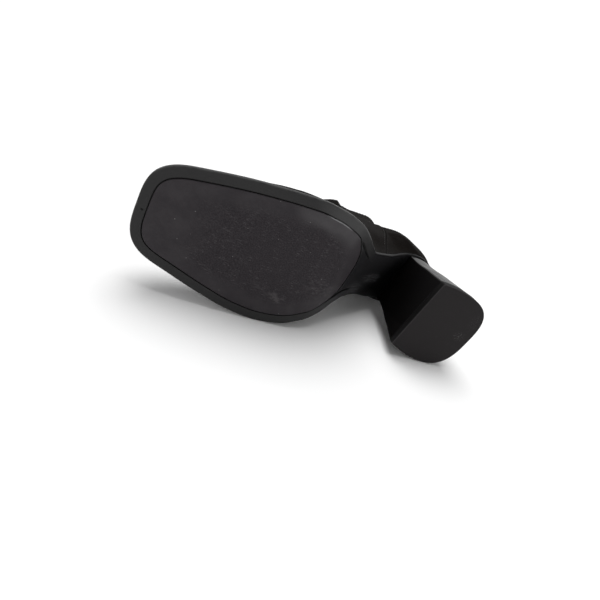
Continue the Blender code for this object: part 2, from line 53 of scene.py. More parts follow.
PLAN = np.array([
    # x, outer edge, inner edge, ledge left free round the upper
    (0.0, 26.2, -23.8, 0.6), (32.0, 26.8, -23.6, 0.6), (50.0, 24.8, -21.4, 0.7), (70.0, 22.0, -18.0, 0.9),
    (90.0, 22.5, -15.0, 1.2), (100.0, 27.3, -16.0, 1.6), (108.0, 32.6, -21.0, 2.0), (115.0, 36.8, -28.4, 2.4),
    (122.0, 40.3, -33.8, 2.6), (130.0, 42.6, -38.2, 2.8), (140.0, 44.2, -42.8, 3.0),
    (150.0, 44.4, -45.8, 3.0), (165.0, 42.6, -47.7, 3.0), (180.0, 40.0, -46.9, 3.0),
    (200.0, 35.6, -43.6, 3.0), (225.0, 28.4, -38.5, 3.0), (251.4, 19.8, -33.6, 3.0)])
SIDE_VIEW = np.array([
    # x, height of the rim's ground side, thickness of the sole
    (0.0, 77.2, 2.6), (30.0, 72.8, 2.6), (45.0, 68.4, 2.8), (54.0, 62.0, 3.2), (70.0, 48.6, 3.4),
    (90.0, 32.2, 3.4), (104.0, 19.8, 3.8), (117.0, 9.2, 4.0), (128.0, 3.4, 4.0), (143.0, 0.4, 4.0),
    (177.0, 0.4, 4.0), (200.0, 1.5, 4.0), (225.0, 4.1, 4.0), (251.4, 8.0, 4.0)])
SOLE_REAR = 3.0
SOLE_FRONT = 251.4
SEAT_ROUND_FROM = 32.0
SEAT_POWER = 2.25
SEAT_CENTRE = 1.0
TOE_ROUND_FROM = 225.0
TOE_POWER = 3.5
TOE_CENTRE = -5.0
ROUND_SAMPLES = 90
EDGE_SAMPLES = 300
END_POINTS = 40
UPPER_WALL = 1.8
INSOLE_RISE = 0.5
INSOLE_THICK = 2.0
INSOLE_SPARE = 1.6
HEEL_SPOT = np.array([27.0, 0.0, 0.0])
TREAD_FROM_HEEL = (133.0, -1.0)
MM = 0.001
NO_LENGTH = 1e-7
NEARLY_NOUGHT = 1e-12


def eased(share):
    """A share from 0 to 1, eased at both ends: 3 t^2 - 2 t^3."""
    return share * share * (3 - 2 * share)


def through(xs, ys, x):
    """Curve through the points without overshoot: cubic pieces whose slope at a point is the weighted
    harmonic mean of the rises on both sides, or nought at a turn."""
    step = np.diff(xs)
    rise = np.diff(ys) / step
    both = rise[:-1] * rise[1:] > 0
    near = 2 * step[1:] + step[:-1]
    far = step[1:] + 2 * step[:-1]
    before = np.where(both, rise[:-1], 1.0)
    after = np.where(both, rise[1:], 1.0)
    mean = np.where(both, (near + far) / (near / before + far / after), 0.0)
    slope = np.concatenate([rise[:1], mean, rise[-1:]])
    x = np.clip(np.asarray(x, dtype=float), xs[0], xs[-1])
    i = np.clip(np.searchsorted(xs, x, side="right") - 1, 0, len(xs) - 2)
    t = (x - xs[i]) / step[i]
    start = (1 + 2 * t) * (1 - t) ** 2 * ys[i] + t * (1 - t) ** 2 * step[i] * slope[i]
    return start + eased(t) * ys[i + 1] + t * t * (t - 1) * step[i] * slope[i + 1]


def plan(name, x):
    """A column of the sole's plan, read at x on the curve through its points."""
    return through(PLAN[:, 0], PLAN[:, ("x", "lateral", "medial", "ledge").index(name)], x)


def under(x):
    """Height of the rim's ground side at x."""
    return through(SIDE_VIEW[:, 0], SIDE_VIEW[:, 1], x)


def sole_top(x):
    """Height of the sole's upper face at x: the ground side plus the thickness."""
    return under(x) + through(SIDE_VIEW[:, 0], SIDE_VIEW[:, 2], x)


def sole_edges():
    """Outer and inner edge of the sole from heel to toe: the plan's columns, drawn in at both ends by a
    superellipse, width = cos ^ (2/power) while length = sin ^ (2/power)."""
    angle = np.linspace(0.0, math.pi / 2, ROUND_SAMPLES)
    seat_x = SEAT_ROUND_FROM - (SEAT_ROUND_FROM - SOLE_REAR) * np.sin(angle[::-1]) ** (2 / SEAT_POWER)
    toe_x = TOE_ROUND_FROM + (SOLE_FRONT - TOE_ROUND_FROM) * np.sin(angle) ** (2 / TOE_POWER)
    mid_x = np.linspace(SEAT_ROUND_FROM, TOE_ROUND_FROM, EDGE_SAMPLES)[1:-1]
    x = np.concatenate([seat_x, mid_x, toe_x])
    cosine = np.clip(np.cos(angle), 0.0, 1.0)
    width = np.concatenate([cosine[::-1] ** (2 / SEAT_POWER), np.ones(len(mid_x)), cosine ** (2 / TOE_POWER)])
    centre = np.where(x < TOE_ROUND_FROM, SEAT_CENTRE, TOE_CENTRE)
    halves = [plan(side, x) - centre for side in ("lateral", "medial")]
    return [np.stack([x, centre + half * width], axis=1) for half in halves]


def unit(vectors):
    """Vectors along the last axis brought to length one."""
    return vectors / np.maximum(np.linalg.norm(vectors, axis=-1, keepdims=True), NEARLY_NOUGHT)


def inward_of(loop):
    """Directions square to a closed plan loop, inwards: the run between each point's two neighbours, turned
    by a quarter."""
    along = unit(np.roll(loop, -1, axis=0) - np.roll(loop, 1, axis=0))
    return np.stack([along[:, 1], -along[:, 0]], axis=1)


def inset_edges(distance):
    """The sole's edges moved inwards along their normals by a distance, a number or a function of x."""
    lateral, medial = sole_edges()
    loop = np.concatenate([lateral, medial[::-1][1:-1]])
    reach = distance(loop[:, 0]) if callable(distance) else np.full(len(loop), float(distance))
    moved = loop + inward_of(loop) * reach[:, None]
    count = len(lateral)
    return moved[:count], np.concatenate([moved[count - 1:], moved[:1]])[::-1]


def run_of(path):
    """Length along a path at each of its points."""
    return np.concatenate([[0.0], np.cumsum(np.linalg.norm(np.diff(path, axis=0), axis=1))])


def points_at(at, run, path):
    """Points of a path at places along its run, on the straight lines between its own points."""
    return np.stack([np.interp(at, run, path[:, k]) for k in range(path.shape[1])], axis=1)


def redrawn(path, shares):
    """A path drawn again with points at the given shares of its length."""
    run = run_of(path)
    return points_at(shares, run / run[-1], path)


def patch(lateral, medial, rear, front):
    """A net filling four edges: the sum of the two blends between facing edges less the blend of the
    corners."""
    s = np.linspace(0.0, 1.0, len(lateral))[:, None, None]
    t = np.linspace(0.0, 1.0, len(rear))[None, :, None]
    across = (1 - t) * lateral[:, None] + t * medial[:, None]
    along = (1 - s) * rear[None] + s * front[None]
    corners = (1 - s) * ((1 - t) * rear[0] + t * rear[-1]) + s * ((1 - t) * front[0] + t * front[-1])
    return across + along - corners


def whole_patch(edges):
    """A net over a closed plan. Each of its two ends takes the same count of points of both edges, and its
    sides take the rest."""
    lateral, medial = edges
    last = len(lateral) - END_POINTS
    rear = np.concatenate([lateral[:END_POINTS][::-1], medial[1:END_POINTS]])
    front = np.concatenate([lateral[last:], medial[last:-1][::-1]])
    sides = slice(END_POINTS - 1, last + 1)
    return patch(lateral[sides], medial[sides], rear, front)


def raised(flat, height):
    """Plan points given the height of a function of x, or a height of their own."""
    z = height(flat[..., 0]) if callable(height) else np.broadcast_to(height, flat.shape[:-1])
    return np.concatenate([flat, z[..., None]], axis=-1)


def closed_loop(edges):
    """The two edges of a plan as one closed loop, its first point repeated at the end."""
    lateral, medial = edges
    return np.concatenate([lateral, medial[::-1][1:-1], lateral[:1]])


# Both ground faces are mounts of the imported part, and their places give the boot's own frame in the model.
mounts = {mount["name"]: mount for mount in frame["record"]["mounts"]}
heel_spot = np.array(mounts["heel_ground_face"]["pos_m"])
tread_spot = np.array(mounts["tread_ground_face"]["pos_m"])
leg_axis = unit(-np.array(mounts["heel_ground_face"]["axis"]))
side_axis = unit(np.cross(leg_axis, tread_spot - heel_spot))
ahead = np.cross(side_axis, leg_axis)
turn = math.atan2(TREAD_FROM_HEEL[1], TREAD_FROM_HEEL[0])
LAID = np.stack([
    math.cos(turn) * ahead - math.sin(turn) * side_axis,
    math.sin(turn) * ahead + math.cos(turn) * side_axis,
    leg_axis])
LAID_FROM = heel_spot - MM * HEEL_SPOT @ LAID


def laid(points):
    """Points of the boot's own frame, in millimetres, laid into the model's frame, in metres: turned by the
    rows of LAID and moved to LAID_FROM."""
    return MM * np.asarray(points) @ LAID + LAID_FROM


def piece_of(name, nets, finishes, marks=None, sharp=40.0, weld=0.004):
    """One mesh from a list of nets of points, each a grid of quads: joined, welded where they meet within
    weld millimetres, turned outwards, shaded smooth below a sharp angle. It keeps its boot frame points,
    and marks, a value for each point, as attributes."""
    points = np.concatenate([net.reshape(-1, 3) for net in nets])
    starts = np.cumsum([0] + [net.shape[0] * net.shape[1] for net in nets])
    quads = []
    for net, start in zip(nets, starts):
        index = start + np.arange(net.shape[0] * net.shape[1]).reshape(net.shape[:2])
        corners = (index[:-1, :-1], index[:-1, 1:], index[1:, 1:], index[1:, :-1])
        quads.append(np.stack([c.ravel() for c in corners], axis=1))
    quads = np.concatenate(quads)
    mesh = bpy.data.meshes.new(name)
    mesh.from_pydata(laid(points).tolist(), [], quads.tolist())
    boot_mark = mesh.attributes.new("boot_mm", "FLOAT_VECTOR", "POINT")
    boot_mark.data.foreach_set("vector", points.astype(np.float32).ravel())
    for key, values in (marks or {}).items():
        mark = mesh.attributes.new(key, "FLOAT", "POINT")
        mark.data.foreach_set("value", np.concatenate([np.ravel(v) for v in values]).astype(np.float32))
    work = bmesh.new()
    work.from_mesh(mesh)
    bmesh.ops.remove_doubles(work, verts=work.verts, dist=weld * MM)
    bmesh.ops.dissolve_degenerate(work, edges=work.edges, dist=NO_LENGTH)
    bmesh.ops.recalc_face_normals(work, faces=work.faces)
    work.to_mesh(mesh)
    work.free()
    mesh.polygons.foreach_set("use_smooth", np.ones(len(mesh.polygons), dtype=bool))
    mesh.set_sharp_from_angle(angle=math.radians(sharp))
    for finish in finishes:
        mesh.materials.append(finish)
    piece = bpy.data.objects.new(name, mesh)
    bpy.context.scene.collection.objects.link(piece)
    return piece


class Value:
    """A shader socket that can be used in sums: each operator adds one Math node."""

    def __init__(self, tree, socket):
        self.tree = tree
        self.socket = socket

    def math(self, operation, *others):
        """A Math node of an operation, on links or numbers."""
        node = self.tree.nodes.new("ShaderNodeMath")
        node.operation = operation
        for k, other in enumerate(others):
            if isinstance(other, Value):
                self.tree.links.new(other.socket, node.inputs[k])
            else:
                node.inputs[k].default_value = other
        return Value(self.tree, node.outputs[0])

    def __add__(self, other):
        return self.math("ADD", self, other)

    def __sub__(self, other):
        return self.math("SUBTRACT", self, other)

    def __rsub__(self, other):
        return self.math("SUBTRACT", other, self)

    def __mul__(self, other):
        return self.math("MULTIPLY", self, other)

    def __truediv__(self, other):
        return self.math("DIVIDE", self, other)

    def __abs__(self):
        return self.math("ABSOLUTE", self)

    def larger(self, other):
        """The larger of two values."""
        return self.math("MAXIMUM", self, other)

    __radd__ = __add__
    __rmul__ = __mul__


class Finish:
    """A material made of nodes. It holds one Principled shader, whose fixed sockets are set once."""

    def __init__(self, name, **fixed):
        self.material = bpy.data.materials.new(name)
        self.material.use_nodes = True
        self.tree = self.material.node_tree
        self.shader = self.tree.nodes["Principled BSDF"]
        for key, value in fixed.items():
            self.shader.inputs[key.replace("_", " ")].default_value = value

    def node(self, kind, settings=None, values=None, out=0):
        """A node of a kind: first its settings, then the values or links of its sockets."""
        node = self.tree.nodes.new("ShaderNode" + kind)
        for key, value in (settings or {}).items():
            setattr(node, key, value)
        for key, value in (values or {}).items():
            if isinstance(value, Value):
                self.tree.links.new(value.socket, node.inputs[key])
            else:
                node.inputs[key].default_value = value
        return Value(self.tree, node.outputs[out])

    def feed(self, **links):
        """Links what varies over the surface to the shader."""
        for key, value in links.items():
            self.tree.links.new(value.socket, self.shader.inputs[key.replace("_", " ")])

    def mark(self, name, out="Fac"):
        """A value or a vector kept on the mesh."""
        return self.node("Attribute", {"attribute_name": name}, out=out)

    def place(self, scale=(1.0, 1.0, 1.0), turned=(0.0, 0.0, 0.0)):
        """The point's place in the boot's own frame, in millimetres, stretched and turned for a pattern."""
        point = self.mark("boot_mm", "Vector")
        return self.node("Mapping", values={"Vector": point, "Scale": scale, "Rotation": turned})

    def axis(self, name):
        """One coordinate of the point's place in the boot's own frame, in millimetres."""
        return self.node("SeparateXYZ", values={"Vector": self.mark("boot_mm", "Vector")}, out=name)

    def noise(self, at, scale, detail=2.0, rough=0.5):
        """Soft noise from 0 to 1, with so many turns a millimetre."""
        values = {"Vector": at, "Scale": scale, "Detail": detail, "Roughness": rough}
        return self.node("TexNoise", {"noise_dimensions": "3D"}, values)

    def cells(self, at, scale):
        """Distance to the nearest of scattered points, with so many cells a millimetre."""
        return self.node("TexVoronoi", {"feature": "F1"}, {"Vector": at, "Scale": scale}, "Distance")

    def ramp(self, value, low, high):
        """Nought below low, one above high, and a smooth step between them."""
        values = {"Value": value, "From Min": low, "From Max": high, "To Min": 0.0, "To Max": 1.0}
        return self.node("MapRange", {"interpolation_type": "SMOOTHSTEP", "clamp": True}, values)

    def mix(self, share, first, second):
        """A colour between two, by a share. Each of the two is a link, or its red, green and blue."""
        first, second = [c if isinstance(c, Value) else (*c, 1.0) for c in (first, second)]
        return self.node("Mix", {"data_type": "RGBA"}, {0: share, 6: first, 7: second}, 2)

    def coats(self, colour, *layers):
        """A colour with others laid over it in turn, each by its own share."""
        for share, over in layers:
            colour = self.mix(share, colour, over)
        return colour

    def bump(self, height, depth, strength, over=None):
        """A normal from a height between 0 and 1, so many metres deep, on top of another normal."""
        values = {"Height": height, "Distance": depth, "Strength": strength}
        if over is not None:
            values["Normal"] = over
        return self.node("Bump", values=values)


sock = Finish("insole_sock", Specular_IOR_Level=0.12)
sock_fine = sock.cells(sock.place(), 1.1)
sock_soft = sock.noise(sock.place(), 0.06, 4.0)
sock.feed(
    Base_Color=sock.mix(sock_soft, (0.030, 0.024, 0.020), (0.060, 0.048, 0.039)),
    Roughness=0.55 + 0.2 * sock_soft,
    Normal=sock.bump(sock_fine, 0.0002, 0.35, sock.bump(sock_soft, 0.002, 0.3)))

sock_edges = inset_edges(lambda x: plan("ledge", x) + UPPER_WALL + INSOLE_SPARE)
sock_net = whole_patch(sock_edges)
sock_loop = closed_loop(sock_edges)
sock_low = sole_top(sock_loop[:, 0]) + INSOLE_RISE
insole = piece_of("insole_sock", [
    raised(sock_net, sole_top(sock_net[..., 0]) + INSOLE_RISE),
    raised(sock_net, sole_top(sock_net[..., 0]) + INSOLE_RISE + INSOLE_THICK),
    np.stack([raised(sock_loop, sock_low), raised(sock_loop, sock_low + INSOLE_THICK)])], [sock.material])
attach(insole, "root")
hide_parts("insole")

# The upper: smooth black leather, lined, pulled over a square toed last and cemented under the insole.
# The vamp laps over the quarters in a stitched seam at each side of the waist. The shaft is slack and
# stands in soft folds, the toe and the heel are stiffened, and the break over the toes has walking creases.

SECTIONS = np.array([
    # base x, base height (nan on the sole), top x, top height, ridge y, outer y, inner y, belly, crown, stand
    (206.0, np.nan, 247.4, 19.0, -5.5, 29.5, -38.2, 0.12, 2.8, 1.0),
    (204.0, np.nan, 243.0, 27.0, -5.5, 29.6, -38.6, 0.14, 2.6, 1.0),
    (201.0, np.nan, 233.0, 33.5, -5.0, 30.3, -39.4, 0.17, 2.4, 1.0),
    (196.0, np.nan, 217.0, 39.5, -4.5, 31.7, -40.8, 0.20, 2.2, 1.0),
    (187.0, np.nan, 199.0, 45.0, -4.0, 34.8, -42.6, 0.22, 2.1, 1.0),
    (172.0, np.nan, 182.0, 50.5, -3.0, 37.8, -44.0, 0.24, 2.1, 1.0),
    (155.0, np.nan, 166.0, 57.0, -2.5, 40.4, -44.0, 0.25, 2.05, 1.0),
    (138.0, np.nan, 152.5, 65.0, -2.0, 40.6, -40.0, 0.27, 2.0, 1.0),
    (120.0, np.nan, 141.0, 75.0, -2.0, 37.6, -32.4, 0.30, 2.0, 1.0),
    (104.0, np.nan, 131.5, 86.5, -2.0, 33.4, -27.0, 0.33, 2.0, 1.0),
    (88.0, np.nan, 123.5, 98.5, -2.5, 30.6, -25.8, 0.35, 2.0, 1.0),
    (70.0, np.nan, 117.0, 110.0, -3.0, 29.8, -26.6, 0.36, 2.05, 1.0),
    (50.0, np.nan, 112.5, 121.0, -3.5, 30.0, -28.4, 0.36, 2.1, 1.0),
    (40.0, np.nan, 110.9, 125.3, -3.8, 29.8, -29.0, 0.34, 2.0, 1.0),
    (30.0, np.nan, 109.5, 129.5, -4.0, 30.2, -29.6, 0.30, 1.9, 0.9),
    (14.0, np.nan, 108.0, 136.0, -4.5, 29.8, -30.2, 0.30, 1.9, 0.7),
    (6.0, np.nan, 107.5, 141.0, -5.0, 28.8, -30.6, 0.31, 1.9, 0.55),
    (0.6, 86.0, 107.5, 145.5, -5.0, 27.2, -31.0, 0.33, 1.95, 0.5),
    (-1.2, 99.0, 108.0, 150.0, -5.4, 25.2, -31.4, 0.37, 2.1, 0.5),
    (0.2, 113.0, 108.6, 155.0, -6.2, 23.2, -31.8, 0.42, 2.4, 0.5),
    (3.0, 129.0, 109.4, 160.5, -7.0, 21.6, -32.2, 0.44, 2.7, 0.5),
    (5.0, 145.0, 110.2, 166.5, -8.0, 20.2, -32.8, 0.45, 3.0, 0.5),
    (5.8, 160.0, 111.0, 172.5, -8.6, 19.4, -33.4, 0.46, 3.2, 0.5),
    (5.6, 173.0, 111.6, 178.0, -9.0, 18.6, -34.0, 0.46, 3.3, 0.5)])
SHAFT_FOLDS = np.array([
    # x, height, reach to the front, reach to the rear, reach upwards, how far it stands out
    (43.5, 170.0, 15.0, 1.6, 15.0, 3.0), (33.0, 150.0, 8.0, 8.0, 40.0, -4.6),
    (86.0, 174.0, 12.0, 2.0, 19.0, 3.6), (71.0, 160.0, 6.0, 6.0, 22.0, -1.2),
    (46.0, 98.0, 15.0, 15.0, 20.0, 3.6)])
CREASES = np.array([
    # row, slope, bow, from and to across (-1 outer edge, 0 ridge, 1 inner edge), half width, depth
    (6.00, 0.16, 0.30, -0.56, 0.36, 3.4, 0.26), (6.60, -0.10, 0.55, -0.72, 0.62, 3.8, 0.52),
    (7.25, 0.14, 0.30, -0.46, 0.74, 3.4, 0.36), (7.80, -0.20, 0.60, -0.28, 0.52, 3.2, 0.20),
    (6.95, 0.40, -0.20, -0.84, -0.40, 2.8, 0.24), (6.30, -0.40, 0.10, 0.34, 0.84, 2.8, 0.22),
    (10.2, 0.14, 0.60, -0.46, 0.40, 4.0, 0.36), (11.5, -0.20, 0.90, -0.58, 0.50, 4.6, 0.66),
    (12.9, 0.22, 1.10, -0.46, 0.60, 4.4, 0.58), (14.9, -0.14, 1.40, -0.42, 0.46, 4.2, 0.42),
    (19.0, 0.30, -0.50, -1.30, -0.40, 4.2, 0.46), (19.3, -0.20, -0.50, 0.40, 1.30, 4.2, 0.46),
    (20.6, -0.20, -0.30, -1.30, -0.54, 3.8, 0.36), (20.4, 0.30, -0.30, 0.50, 1.30, 3.8, 0.36),
    (18.0, 0.60, 0.00, 0.20, 0.88, 4.4, 0.52), (20.9, 1.20, 0.00, 0.08, 0.70, 4.6, 0.60),
    (17.2, -1.20, 0.00, -0.74, -0.18, 4.0, 0.50), (22.4, -0.60, 0.00, -0.38, 0.32, 4.0, 0.34),
    (13.6, -2.40, 0.00, -0.96, -0.50, 3.8, 0.36), (13.2, 2.40, 0.00, 0.50, 0.96, 3.8, 0.36)])
TOE_WALL_FROM = 178.0
TOE_WALL_FULL = 206.0
TOE_WALL_INSET = 1.4
TOE_WALL_LEAN = 0.2
TOE_WALL_RISE = 3.0
CREASE_FADE = 0.26
CREASE_WANDER = 0.09
CREASE_WAVES = 8.0
CREASE_SHIFT = 5.0
SHOULDER_HIGH = 0.42
SHOULDER_WIDE = 2.3
SIDE_SEAM = np.array([
    # height, x
    (44.0, 75.5), (62.0, 73.0), (81.0, 67.6), (110.0, 63.2), (140.0, 60.8), (180.0, 60.0)])
SEAT_CLEAR = 0.15
LAP_STEP = 0.4
LAP_SLOPE = 1.1
LAP_REACH = 20.0
COLLAR_FOLD = 5.2
TOE_EDGE_START = 208.0
LOWER_STEPS = 60
CROWN_STEPS = 240
HALF_STEPS = 76
ROWS_BETWEEN = 12
TOE_ROWS = 5 * ROWS_BETWEEN
EVENING_PASSES = 14
EDGE_FADE_ROWS = 1.5
OUTER_COLUMN = 10
FAR_AWAY = 60.0
# The rows of the net from this one on stand above the sole, where the back of the upper is closed.
CLOSED_ROW = 1 + int(np.argmin(np.isnan(SECTIONS[:, 1])))
BACK_X = 3.9
BACK_ROW = 17.4
BACK_REACH = 1.1
BACK_COLUMNS = 14
BACK_PASSES = 16


def part_way(value, start, length):
    """How far a value has come along a stretch of a length: nought before its start, one past its end."""
    return np.clip((value - start) / length, 0.0, 1.0)


def feather(side, x):
    """Edge of the upper on the sole at x: the sole's edge less its ledge, outer side 1 or inner side -1."""
    path = feather_edges[0 if side > 0 else 1]
    order = np.argsort(path[:, 0])
    return np.interp(x, path[order, 0], path[order, 1])


def half_section(row, side):
    """Half of a section from base to ridge, in the plane through both. Below the belly the wall swells from
    its foot by (1 - (1 - t)^2) ^ stand, or by an eased step where it leans inwards. Above, it is a
    superellipse: out = cos ^ (2/crown), up = sin ^ (2/crown)."""
    base_x, base_z, top_x, top_z, ridge, outer, inner, belly, crown, stand = row
    on_sole = np.isnan(base_z)
    base = np.array([base_x, sole_top(base_x) + SEAT_CLEAR if on_sole else base_z])
    widest = outer if side > 0 else inner
    low = np.linspace(0.0, 1.0, LOWER_STEPS + 1)[:-1]
    angle = np.linspace(0.0, math.pi / 2, CROWN_STEPS + 1)
    reach = np.concatenate([belly * low, belly + (1 - belly) * np.sin(angle) ** (2 / crown)])
    plane = base + reach[:, None] * (np.array([top_x, top_z]) - base)
    foot = feather(side, plane[:LOWER_STEPS + 1, 0]) if on_sole else np.full(LOWER_STEPS + 1, ridge)
    lean = widest - foot[-1]
    swell = (1 - (1 - low) ** 2) ** stand if lean * side > 0 else eased(low)
    high = ridge + (widest - ridge) * np.maximum(np.cos(angle), 0.0) ** (2 / crown)
    section = np.column_stack([plane[:, 0], np.concatenate([foot[:-1] + lean * swell, high]), plane[:, 1]])
    return redrawn(section, np.linspace(0.0, 1.0, HALF_STEPS + 1))


def toe_edge(side):
    """The first half section: the upper's edge on the sole round the toe, spaced as the next section is."""
    path = feather_edges[0 if side > 0 else 1]
    first = np.array([[TOE_EDGE_START, feather(side, TOE_EDGE_START)]])
    path = np.concatenate([first, path[path[:, 0] > TOE_EDGE_START]])
    run = run_of(half_section(SECTIONS[0], side))
    return raised(redrawn(path, run / run[-1]), lambda x: sole_top(x) + SEAT_CLEAR)


def over_rows(keys, fine):
    """A net of key rows drawn finely: each point of a row runs along its own smooth curve."""
    at = np.arange(len(keys), dtype=float)
    flat = keys.reshape(len(keys), -1)
    return np.stack([through(at, flat[:, k], fine) for k in range(flat.shape[1])], axis=1).reshape(
        len(fine), *keys.shape[1:])


def evened(net, passes):
    """A net smoothed along its rows' direction: each inner row becomes half itself and a quarter of each
    neighbour."""
    for _ in range(passes):
        net[1:-1] = 0.25 * net[:-2] + 0.5 * net[1:-1] + 0.25 * net[2:]
    return net


def seated(net, fine):
    """The net with its back closed above the seat, where the two edges take their mean, and its edges on
    the sole below it. The last rows on the sole meet at one point."""
    closed = fine >= CLOSED_ROW
    seam = (net[closed, 0] + net[closed, -1]) / 2
    net[closed, 0] = seam
    net[closed, -1] = seam
    for edge, side in ((0, 1), (-1, -1)):
        x = np.maximum(net[~closed, edge, 0], feather_edges[0][0, 0])
        net[~closed, edge] = np.column_stack([x, feather(side, x), sole_top(x) + SEAT_CLEAR])
    meeting = ~closed & (fine > BACK_ROW)
    net[meeting, 0] = net[meeting, -1] = (BACK_X, feather(-1, BACK_X), sole_top(BACK_X) + SEAT_CLEAR)
    return net


def back_evened(net, fine):
    """The net smoothed low at its back: near the place where its edges meet, each point moves to the mean
    of its four neighbours, by a share that fades in a bell along the rows and evenly across them. The edges
    stay."""
    column = np.arange(net.shape[1])
    share = np.exp(-((fine - BACK_ROW) / BACK_REACH) ** 2)[:, None] * np.clip(
        1 - np.minimum(column, column[::-1]) / BACK_COLUMNS, 0.0, 1.0)
    share[np.ix_(fine < CLOSED_ROW, [0, -1])] = 0.0
    for _ in range(BACK_PASSES):
        wide = np.concatenate([net[:, -2:-1], net, net[:, 1:2]], axis=1)
        mean = (wide[1:-1, :-2] + wide[1:-1, 2:] + net[:-2] + net[2:]) / 4
        net[1:-1] += share[1:-1, :, None] * (mean - net[1:-1])
    return net


def folded(net):
    """The shaft's slack folds: soft ridges and troughs on the outer side, each a bell in height and in x,
    whose rear half may be the steeper one."""
    half = net.shape[1] // 2
    side = net[:, :half + 1]
    ridge = side[:, -1:, 1]
    share = part_way(side[..., 1], ridge, side[..., 1].max(axis=1, keepdims=True) - ridge)
    lift = np.zeros(share.shape)
    for x, z, front, rear, tall, height in SHAFT_FOLDS:
        ahead_by = side[..., 0] - x
        long = np.where(ahead_by > 0, front, rear)
        lift += height * np.exp(-(ahead_by / long) ** 2 - ((side[..., 2] - z) / tall) ** 2)
    net[:, :half + 1, 1] += lift * np.sqrt(share)
    return net


def toe_held_in(net):
    """The toe box kept within the sole's edge: past a wall that stands on the ledge and leans inwards, what
    is too wide is drawn back by a soft step, log(1 + e^over)."""
    share = part_way(net[..., 0], TOE_WALL_FROM, TOE_WALL_FULL - TOE_WALL_FROM)
    rise = np.maximum(net[..., 2] - sole_top(net[..., 0]), 0.0)
    for edge, side in zip(sole_edges(), (1, -1)):
        order = np.argsort(edge[:, 0])
        edge_y = np.interp(net[..., 0], edge[order, 0], edge[order, 1])
        limit = side * edge_y - TOE_WALL_INSET - TOE_WALL_LEAN * rise
        over = np.logaddexp(0.0, side * net[..., 1] - limit)
        over = np.where(net[..., 1] * side > 0, over, 0.0)
        net[..., 1] -= side * share * over * part_way(rise, 0.0, TOE_WALL_RISE)
    return net


def rested(net):
    """The net with nothing under the floor: what would lie lower is pressed up to it."""
    sunk = np.maximum(-laid(net)[..., 2], 0.0)
    return net + sunk[..., None] / MM * LAID[:, 2]


def normals_of(net):
    """Directions square to a net: the cross product of its two runs."""
    return unit(np.cross(np.gradient(net, axis=0), np.gradient(net, axis=1)))


def at_rows(values, rows):
    """Values of a net read down its columns at one fractional row for each column."""
    rows = np.clip(rows, 0, values.shape[0] - 1.001)
    low = rows.astype(int)
    share = (rows - low).reshape((-1,) + (1,) * (values.ndim - 2))
    columns = np.arange(values.shape[1])
    return values[low, columns] * (1 - share) + values[low + 1, columns] * share


def creased(net, across):
    """Depth of the walking creases: along a bowed line in rows, a bell trough with two low shoulders, faded
    out at both ends."""
    steps = np.linalg.norm(np.diff(net, axis=0), axis=2)
    run = np.concatenate([np.zeros((1, net.shape[1])), np.cumsum(steps, axis=0)])
    depth = np.zeros(run.shape)
    for row, slope, bow, start, stop, width, deep in CREASES:
        wander = CREASE_WANDER * np.sin(CREASE_WAVES * across + CREASE_SHIFT * row)
        away = run - at_rows(run, (row + slope * across + bow * across ** 2 + wander) * ROWS_BETWEEN)
        fade = eased(part_way(across, start, CREASE_FADE) * part_way(-across, -stop, CREASE_FADE))
        shoulder = SHOULDER_HIGH * np.exp(-(away / (SHOULDER_WIDE * width)) ** 2)
        depth -= deep * (np.exp(-(away / width) ** 2) - shoulder) * fade
    return depth


feather_edges = inset_edges(lambda x: plan("ledge", x))
key_rows = [np.concatenate([toe_edge(1), toe_edge(-1)[::-1][1:]])]
key_rows += [np.concatenate([half_section(row, 1), half_section(row, -1)[::-1][1:]]) for row in SECTIONS]
fine_rows = np.linspace(0.0, len(key_rows) - 1, (len(key_rows) - 1) * ROWS_BETWEEN + 1)
skin = seated(evened(over_rows(np.array(key_rows), fine_rows), EVENING_PASSES), fine_rows)
skin = toe_held_in(folded(seated(back_evened(skin, fine_rows), fine_rows)))
across = np.linspace(-1.0, 1.0, skin.shape[1])
crease = creased(skin, across)
outward = normals_of(skin)
outward *= np.sign(outward[len(skin) // 2, OUTER_COLUMN, 1])
edge_fade = part_way(np.minimum(fine_rows, fine_rows[-1] - fine_rows), 0.0, EDGE_FADE_ROWS)[:, None]
skin = rested(seated(skin + outward * (crease * edge_fade)[..., None], fine_rows))


def from_seam(net):
    """How far in front of the side seam each point lies in side view: the difference in x, times the cosine
    of the seam's lean at that height."""
    x, z = net[..., 0], net[..., 2]
    lean = through(*SIDE_SEAM.T, z + 0.5) - through(*SIDE_SEAM.T, z - 0.5)
    return (x - through(*SIDE_SEAM.T, z)) / np.sqrt(1 + lean ** 2)


def beside_seam(side, ahead):
    """The line on the skin so far in front of a side's seam: on each row, the place where the distance from
    the seam passes that value, and the direction square to the skin there."""
    half = slice(0, HALF_STEPS + 1) if side > 0 else slice(HALF_STEPS, None)
    past = seam_mm[:, half] - ahead
    passing = past[:, :-1] * past[:, 1:] <= 0
    rows = np.flatnonzero(passing.any(axis=1))
    columns = passing[rows].argmax(axis=1)
    before, after = past[rows, columns], past[rows, columns + 1]
    share = (before / (before - after))[:, None]
    line = skin[:, half][rows, columns] * (1 - share) + skin[:, half][rows, columns + 1] * share
    return line, outward[:, half][rows, columns]


